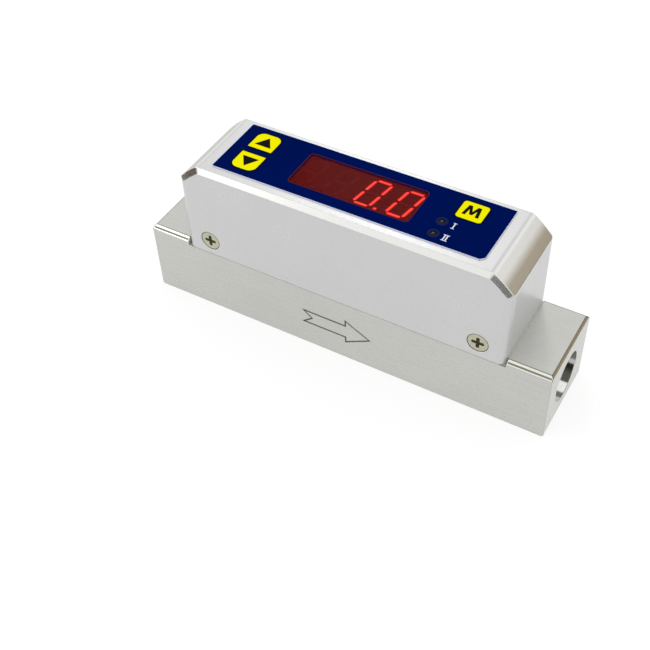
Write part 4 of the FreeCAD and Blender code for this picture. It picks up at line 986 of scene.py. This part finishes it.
@dataclass
class PortPiece:
    """A piece turned round the port's axis in one end of the block."""

    name: str
    side: int
    face_x: float = 50.0
    axis_z: float = 9.0

    def spin(self, mesh: BMesh, geom: list, turns: float, steps: int, **settings: object) -> None:
        """Turns geometry round the port's axis."""
        bmesh.ops.spin(mesh, geom=geom, cent=(0, 0, self.axis_z), axis=(1, 0, 0),
                       angle=math.tau * turns, steps=steps, **settings)


@dataclass
class PortThread(PortPiece):
    """The pipe thread in a port, as a ridge wound round the bore."""

    bore: float = 4.88
    crest: float = 4.283
    pitch: float = 0.907
    root_width: float = 0.85
    crest_width: float = 0.2
    first: float = 2.7
    last: float = 10.3
    steps: int = 56

    def build(self, wardrobe: Wardrobe) -> None:
        """Winds the ridge from just inside the mouth to near the bore's floor."""
        mesh = bmesh.new()
        start = self.side * (self.face_x - self.first)
        root, crest = self.root_width / 2, self.crest_width / 2
        profile = ((-root, self.bore), (root, self.bore), (crest, self.crest), (-crest, self.crest))
        corners = [mesh.verts.new((start + u, 0.0, self.axis_z + r)) for u, r in profile]
        face = mesh.faces.new(corners)
        turns = (self.last - self.first) / self.pitch
        steps = round(turns * self.steps)
        onward = Vector((-self.side * self.pitch * turns / steps, 0, 0))
        self.spin(mesh, [face, *face.edges, *face.verts], turns, steps, dvec=onward,
                  use_merge=False)
        bmesh.ops.holes_fill(mesh, edges=mesh.edges, sides=SIDE_CORNERS)
        wardrobe.make(mesh, self.name, BLOCK, smooth=True)


@dataclass
class PortLining(PortPiece):
    """A sleeve on the turned wall of a port's smooth recess, dressed in painted reflections."""

    wall: float = 5.85
    lip: float = 0.11
    depth: float = 2.2
    thickness: float = 0.03
    clearance: float = 0.005
    steps: int = 96

    def build(self, wardrobe: Wardrobe) -> None:
        """Turns the lining's section round the port's axis."""
        mesh = bmesh.new()
        t, outer = self.thickness, self.wall - self.clearance
        near, far = self.lip, self.depth - self.clearance
        section = ((near, outer), (near, outer - t), (far, outer - t), (far, outer))
        ring = [mesh.verts.new((self.side * (self.face_x - u), 0.0, self.axis_z + r))
                for u, r in section]
        edges = [mesh.edges.new((ring[i - 1], ring[i])) for i in range(len(ring))]
        self.spin(mesh, [*ring, *edges], 1.0, self.steps, use_merge=True)
        wardrobe.make(mesh, self.name, RECESS_REFLECTIONS, smooth=True)


@dataclass
class ScrewShade:
    """Painted shade in the gap round each countersunk cover screw, and in its cross."""

    screws_x: float = 33.25
    screws_z: float = 20.95
    head_y: float = 10.42
    hole_radius: float = 2.49
    gap_width: float = 0.17
    layer: float = 0.04
    cross_length: float = 2.9
    cross_width: float = 0.78
    cross_level: float = 0.012
    cross_taper: float = 0.22
    ring_steps: int = 64

    def arms(self) -> list[list[Point]]:
        """The outlines of the cross's two arms, with tapered ends."""
        a, b, c = self.cross_length / 2, self.cross_width / 2, self.cross_taper
        half = [(a - c, -b), (a, -b + c), (a, b - c), (a - c, b)]
        arm = [*half, *((-u, -v) for u, v in half)]
        return [arm, [(-v, u) for u, v in arm]]

    def build(self, wardrobe: Wardrobe) -> None:
        """Makes the rings and crosses flat, and stands them up at each screw."""
        rings, crosses = bmesh.new(), bmesh.new()
        for side in (-1, 1):
            for face in (-1, 1):
                middle = (side * self.screws_x, 0.0)
                turn = Matrix.Rotation(-face * math.pi / 2, 4, "X")
                place = Matrix.Translation((0, face * self.head_y, self.screws_z)) @ turn
                before = set(rings.verts)
                ring = disc(rings, middle, self.hole_radius, 0.0, self.layer, self.ring_steps)
                hollow(rings, ring, self.gap_width)
                made = [vert for vert in rings.verts if vert not in before]
                bmesh.ops.transform(rings, matrix=place, verts=made)
                for level, arm in enumerate(self.arms(), start=1):
                    made = slab(crosses, shifted(arm, *middle), 0.0, level * self.cross_level)
                    bmesh.ops.transform(crosses, matrix=place, verts=made)
        wardrobe.make(rings, "screw_gap_shade_rings", GAP_SHADE)
        wardrobe.make(crosses, "screw_cross_shades", GAP_SHADE)


@dataclass
class FlowArrow:
    """The ink in the engraved outline of the flow arrow on the block's front face."""

    tail_x: float = -9.1
    notch_x: float = -6.9
    neck_x: float = 1.8
    tip_x: float = 7.9
    axis_z: float = 8.45
    shaft_half: float = 1.8
    head_half: float = 3.35
    line: float = 0.34
    floor_y: float = -10.38
    layer: float = 0.04

    def middle_line(self) -> list[Point]:
        """The corners of the engraved line's middle, anticlockwise from the notch."""
        s, h = self.shaft_half, self.head_half
        return [(self.notch_x, 0.0), (self.tail_x, -s), (self.neck_x, -s), (self.neck_x, -h),
                (self.tip_x, 0.0), (self.neck_x, h), (self.neck_x, s), (self.tail_x, s)]

    def grown(self, points: Sequence[Point], by: float) -> list[Point]:
        """An outline moved outwards, with mitred corners.

        Args:
            points: The outline's corners, anticlockwise.
            by: How far each side moves out.

        Returns:
            The new corners.
        """
        made = []
        for i, here in enumerate(points):
            before, after = points[i - 1], points[(i + 1) % len(points)]
            inward = (Vector(here) - Vector(before)).normalized()
            onward = (Vector(after) - Vector(here)).normalized()
            first, second = Vector((inward.y, -inward.x)), Vector((onward.y, -onward.x))
            mitre = (first + second) * by / (1 + first.dot(second))
            made.append((here[0] + mitre.x, here[1] + mitre.y))
        return made

    def build(self, wardrobe: Wardrobe) -> None:
        """Makes the line flat, and stands it up on the groove's floor."""
        mesh = bmesh.new()
        made = slab(mesh, self.grown(self.middle_line(), self.line / 2), 0.0, self.layer)
        hollow(mesh, made, self.line)
        turn = Matrix.Rotation(math.pi / 2, 4, "X")
        place = Matrix.Translation((0, self.floor_y, self.axis_z)) @ turn
        bmesh.ops.transform(mesh, matrix=place, verts=mesh.verts)
        wardrobe.make(mesh, "flow_arrow_ink", GROOVE_INK)


@dataclass
class JointLightStrips:
    """A thin pale strip in each joint of cover and deck: painted light over the gap's shade."""

    inner_x: float = 39.755
    outer_x: float = 40.02
    half_width: float = 9.3
    foot: float = 18.5
    top: float = 18.715

    def build(self, wardrobe: Wardrobe) -> None:
        """Makes both strips."""
        mesh = bmesh.new()
        middle, breadth = (self.inner_x + self.outer_x) / 2, self.outer_x - self.inner_x
        for side in (-1, 1):
            outline = rectangle(side * middle, 0.0, breadth, 2 * self.half_width)
            slab(mesh, outline, self.foot, self.top)
        wardrobe.make(mesh, "joint_light_strips", JOINT_LIGHT)


@dataclass
class BevelLines:
    """The dull line along the middle of each deck's long bevels."""

    start_x: float = 40.1
    end_x: float = 49.7
    edge_y: float = 9.5
    edge_z: float = 18.7
    bevel: float = 1.0
    share: float = 0.58
    width: float = 0.44
    layer: float = 0.012

    def build(self, wardrobe: Wardrobe) -> None:
        """Makes the four lines flat, and tilts each onto its bevel."""
        mesh = bmesh.new()
        middle, length = (self.start_x + self.end_x) / 2, self.end_x - self.start_x
        y, z = self.edge_y + self.share * self.bevel, self.edge_z - self.share * self.bevel
        for side in (-1, 1):
            for face in (-1, 1):
                outline = rectangle(side * middle, 0.0, length, self.width)
                made = slab(mesh, outline, -self.layer, self.layer)
                turn = Matrix.Rotation(-face * math.pi / 4, 4, "X")
                place = Matrix.Translation((0, face * y, z)) @ turn
                bmesh.ops.transform(mesh, matrix=place, verts=made)
        wardrobe.make(mesh, "bevel_lines", BEVEL_LINE_TONE)


def staged_sheet(name: str, size: Point, place: Matrix) -> tuple[Object, Tree]:
    """Makes a flat piece of the studio, with an empty material.

    Args:
        name: The sheet's name, and its material's.
        size: Its length and width in metres.
        place: Where its middle is and which way it looks.

    Returns:
        The sheet, and its material's tree.
    """
    mesh = bmesh.new()
    bmesh.ops.create_grid(mesh, x_segments=1, y_segments=1, size=0.5,
                          matrix=place @ Matrix.Diagonal((*size, 1.0, 1.0)))
    data = bpy.data.meshes.new(name)
    mesh.to_mesh(data)
    mesh.free()
    sheet = bpy.data.objects.new(name, data)
    bpy.context.scene.collection.objects.link(sheet)
    material, tree = empty_material(name)
    data.materials.append(material)
    return sheet, tree


@dataclass(frozen=True)
class SoftBox:
    """A large soft lamp that looks at the meter."""

    name: str
    place: tuple[float, float, float]
    size: tuple[float, float]
    level: float

    def build(self, target: Vector) -> None:
        """Makes the lamp. Its level is its brightness, where 1 is white."""
        data = bpy.data.lights.new(self.name, "AREA")
        data.shape = "RECTANGLE"
        data.size, data.size_y = self.size
        data.energy = self.level * math.pi * self.size[0] * self.size[1]
        lamp = bpy.data.objects.new(self.name, data)
        lamp.location = self.place
        lamp.rotation_mode = "QUATERNION"
        lamp.rotation_quaternion = (target - Vector(self.place)).to_track_quat("-Z", "Y")
        bpy.context.scene.collection.objects.link(lamp)


@dataclass(frozen=True)
class Card:
    """A studio card that only shows in what the metal mirrors."""

    name: str
    place: tuple[float, float, float]
    size: tuple[float, float]
    colour: Colour

    def build(self, target: Vector) -> None:
        """Makes the card, facing the meter."""
        turn = (target - Vector(self.place)).to_track_quat("Z", "Y").to_matrix().to_4x4()
        card, tree = staged_sheet(self.name, self.size, Matrix.Translation(self.place) @ turn)
        glow = tree.add("Emission", {"Color": opaque(self.colour), "Strength": 1.0})
        tree.add("OutputMaterial", {"Surface": glow.outputs[0]})
        card.visible_camera = False
        card.visible_diffuse = False
        card.visible_shadow = False


@dataclass
class Studio:
    """The pale floor, the white surroundings, the soft lamps and the camera."""

    floor_side: float = 6.0
    floor_level: float = -0.00005
    floor_plain: float = 0.8
    floor_glow: float = 0.72
    floor_diffuse: float = 0.36
    world_level: float = 0.85
    clip_start: float = 0.01
    target: tuple[float, float, float] = (0.0, 0.0, 0.02)
    lens_mm: float = 60.291
    sensor_mm: float = 36.0
    camera_place: tuple[float, float, float] = (0.08700921, -0.15436874, 0.18665981)
    camera_right: tuple[float, float, float] = (0.86405509, 0.50229145, -0.03334841)
    camera_down: tuple[float, float, float] = (0.34450611, -0.638331, -0.68836696)
    camera_ahead: tuple[float, float, float] = (-0.36704816, 0.58329825, -0.72459562)
    lamps: tuple[SoftBox, ...] = (
        SoftBox("softbox_back", (-0.46, 0.88, 0.9), (0.2, 0.3), 4.3),
        SoftBox("softbox_front", (-0.6, -0.55, 0.3), (0.6, 0.5), 0.85),
    )
    cards: tuple[Card, ...] = (
        Card("card_right", (0.33, 0.27, 0.048), (0.42, 0.161), (0.32, 0.25, 0.155)),
        Card("card_right_brim", (0.335, 0.275, 0.145), (0.42, 0.06), (0.58, 0.54, 0.46)),
        Card("card_front", (0.082, -0.141, 0.012), (0.09, 0.055), (0.0, 0.0, 0.0)),
        Card("card_left", (-0.134, -0.0574, 0.012), (0.12, 0.07), (0.05, 0.025, 0.0)),
        Card("card_behind", (-0.078, 0.042, 0.012), (0.1, 0.03), (0.66, 0.65, 0.63)),
    )

    @staticmethod
    def shown_share(tree: Tree) -> NodeSocket:
        """1 for rays from the camera, a mirror surface or glass, 0 for all others."""
        path = tree.add("LightPath").outputs
        mirrored = tree.math("MAXIMUM", path["Is Glossy Ray"], path["Is Transmission Ray"])
        return tree.math("MAXIMUM", path["Is Camera Ray"], mirrored)

    def floor(self) -> None:
        """A pale floor, white to the eye, that keeps the meter's shadow."""
        place = Matrix.Translation((0, 0, self.floor_level))
        _, tree = staged_sheet("floor", (self.floor_side, self.floor_side), place)
        plain, shade = (
            tree.add("BsdfDiffuse", {"Color": opaque((share,) * 3)}).outputs[0]
            for share in (self.floor_plain, self.floor_diffuse)
        )
        glow = tree.add("Emission", {"Color": opaque(PURE_WHITE), "Strength": self.floor_glow})
        white = tree.add("AddShader", {0: shade, 1: glow.outputs[0]}).outputs[0]
        mixed = tree.add("MixShader", {0: self.shown_share(tree), 1: plain, 2: white})
        tree.add("OutputMaterial", {"Surface": mixed.outputs[0]})

    def world(self) -> None:
        """White surroundings, whose light on the meter is set apart from how they look."""
        world = bpy.data.worlds.new("studio")
        bpy.context.scene.world = world
        world.use_nodes = True
        world.node_tree.nodes.clear()
        tree = Tree(world.node_tree)
        seen, light = (
            tree.add("Background", {"Color": opaque(PURE_WHITE), "Strength": level}).outputs[0]
            for level in (1.0, self.world_level)
        )
        mixed = tree.add("MixShader", {0: self.shown_share(tree), 1: light, 2: seen})
        tree.add("OutputWorld", {"Surface": mixed.outputs[0]})

    def camera(self) -> None:
        """The camera, at the photograph's place."""
        data = bpy.data.cameras.new("camera")
        data.sensor_width = self.sensor_mm
        data.lens = self.lens_mm
        data.clip_start = self.clip_start
        camera = bpy.data.objects.new("camera", data)
        right, up = Vector(self.camera_right), -Vector(self.camera_down)
        back = -Vector(self.camera_ahead)
        turn = Matrix((right, up, back)).transposed().to_4x4()
        camera.matrix_world = Matrix.Translation(self.camera_place) @ turn
        bpy.context.scene.collection.objects.link(camera)
        bpy.context.scene.camera = camera

    def build(self) -> None:
        """Sets up the whole studio."""
        self.floor()
        self.world()
        for thing in (*self.lamps, *self.cards):
            thing.build(Vector(self.target))
        self.camera()
        bpy.context.scene.view_settings.view_transform = "Standard"


@dataclass
class FlowMeter:
    """The whole meter: its CAD nodes dressed, and the pieces made here."""

    nodes: dict[str, Object]
    wardrobe: Wardrobe = field(default_factory=Wardrobe)
    parts: tuple = (
        Readout(),
        Panel(),
        PortThread("outlet_thread", 1),
        PortThread("inlet_thread", -1),
        PortLining("outlet_recess_reflections", 1),
        PortLining("inlet_recess_reflections", -1),
        ScrewShade(),
        FlowArrow(),
        JointLightStrips(),
        BevelLines(),
    )

    def dress_nodes(self) -> None:
        """Gives every CAD node its finish."""
        for finish, names in DRESSED_NODES.items():
            for name in names:
                self.wardrobe.dress_node(self.nodes[name], finish)
                LOG.info("%s in %s", name, finish.name)

    def build(self) -> None:
        """Dresses the nodes and makes the pieces."""
        self.dress_nodes()
        for part in self.parts:
            part.build(self.wardrobe)


def corners(box: tuple[Vector, Vector]) -> list[list[float]]:
    """A box's two corners as plain lists."""
    return [list(corner) for corner in box]


def main() -> None:
    """Loads the frame, dresses it, and sets up the studio."""
    logging.basicConfig(level=logging.INFO, format="%(message)s")
    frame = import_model()
    Studio().build()
    FlowMeter(frame["nodes"]).build()


if __name__ == "__main__":
    main()
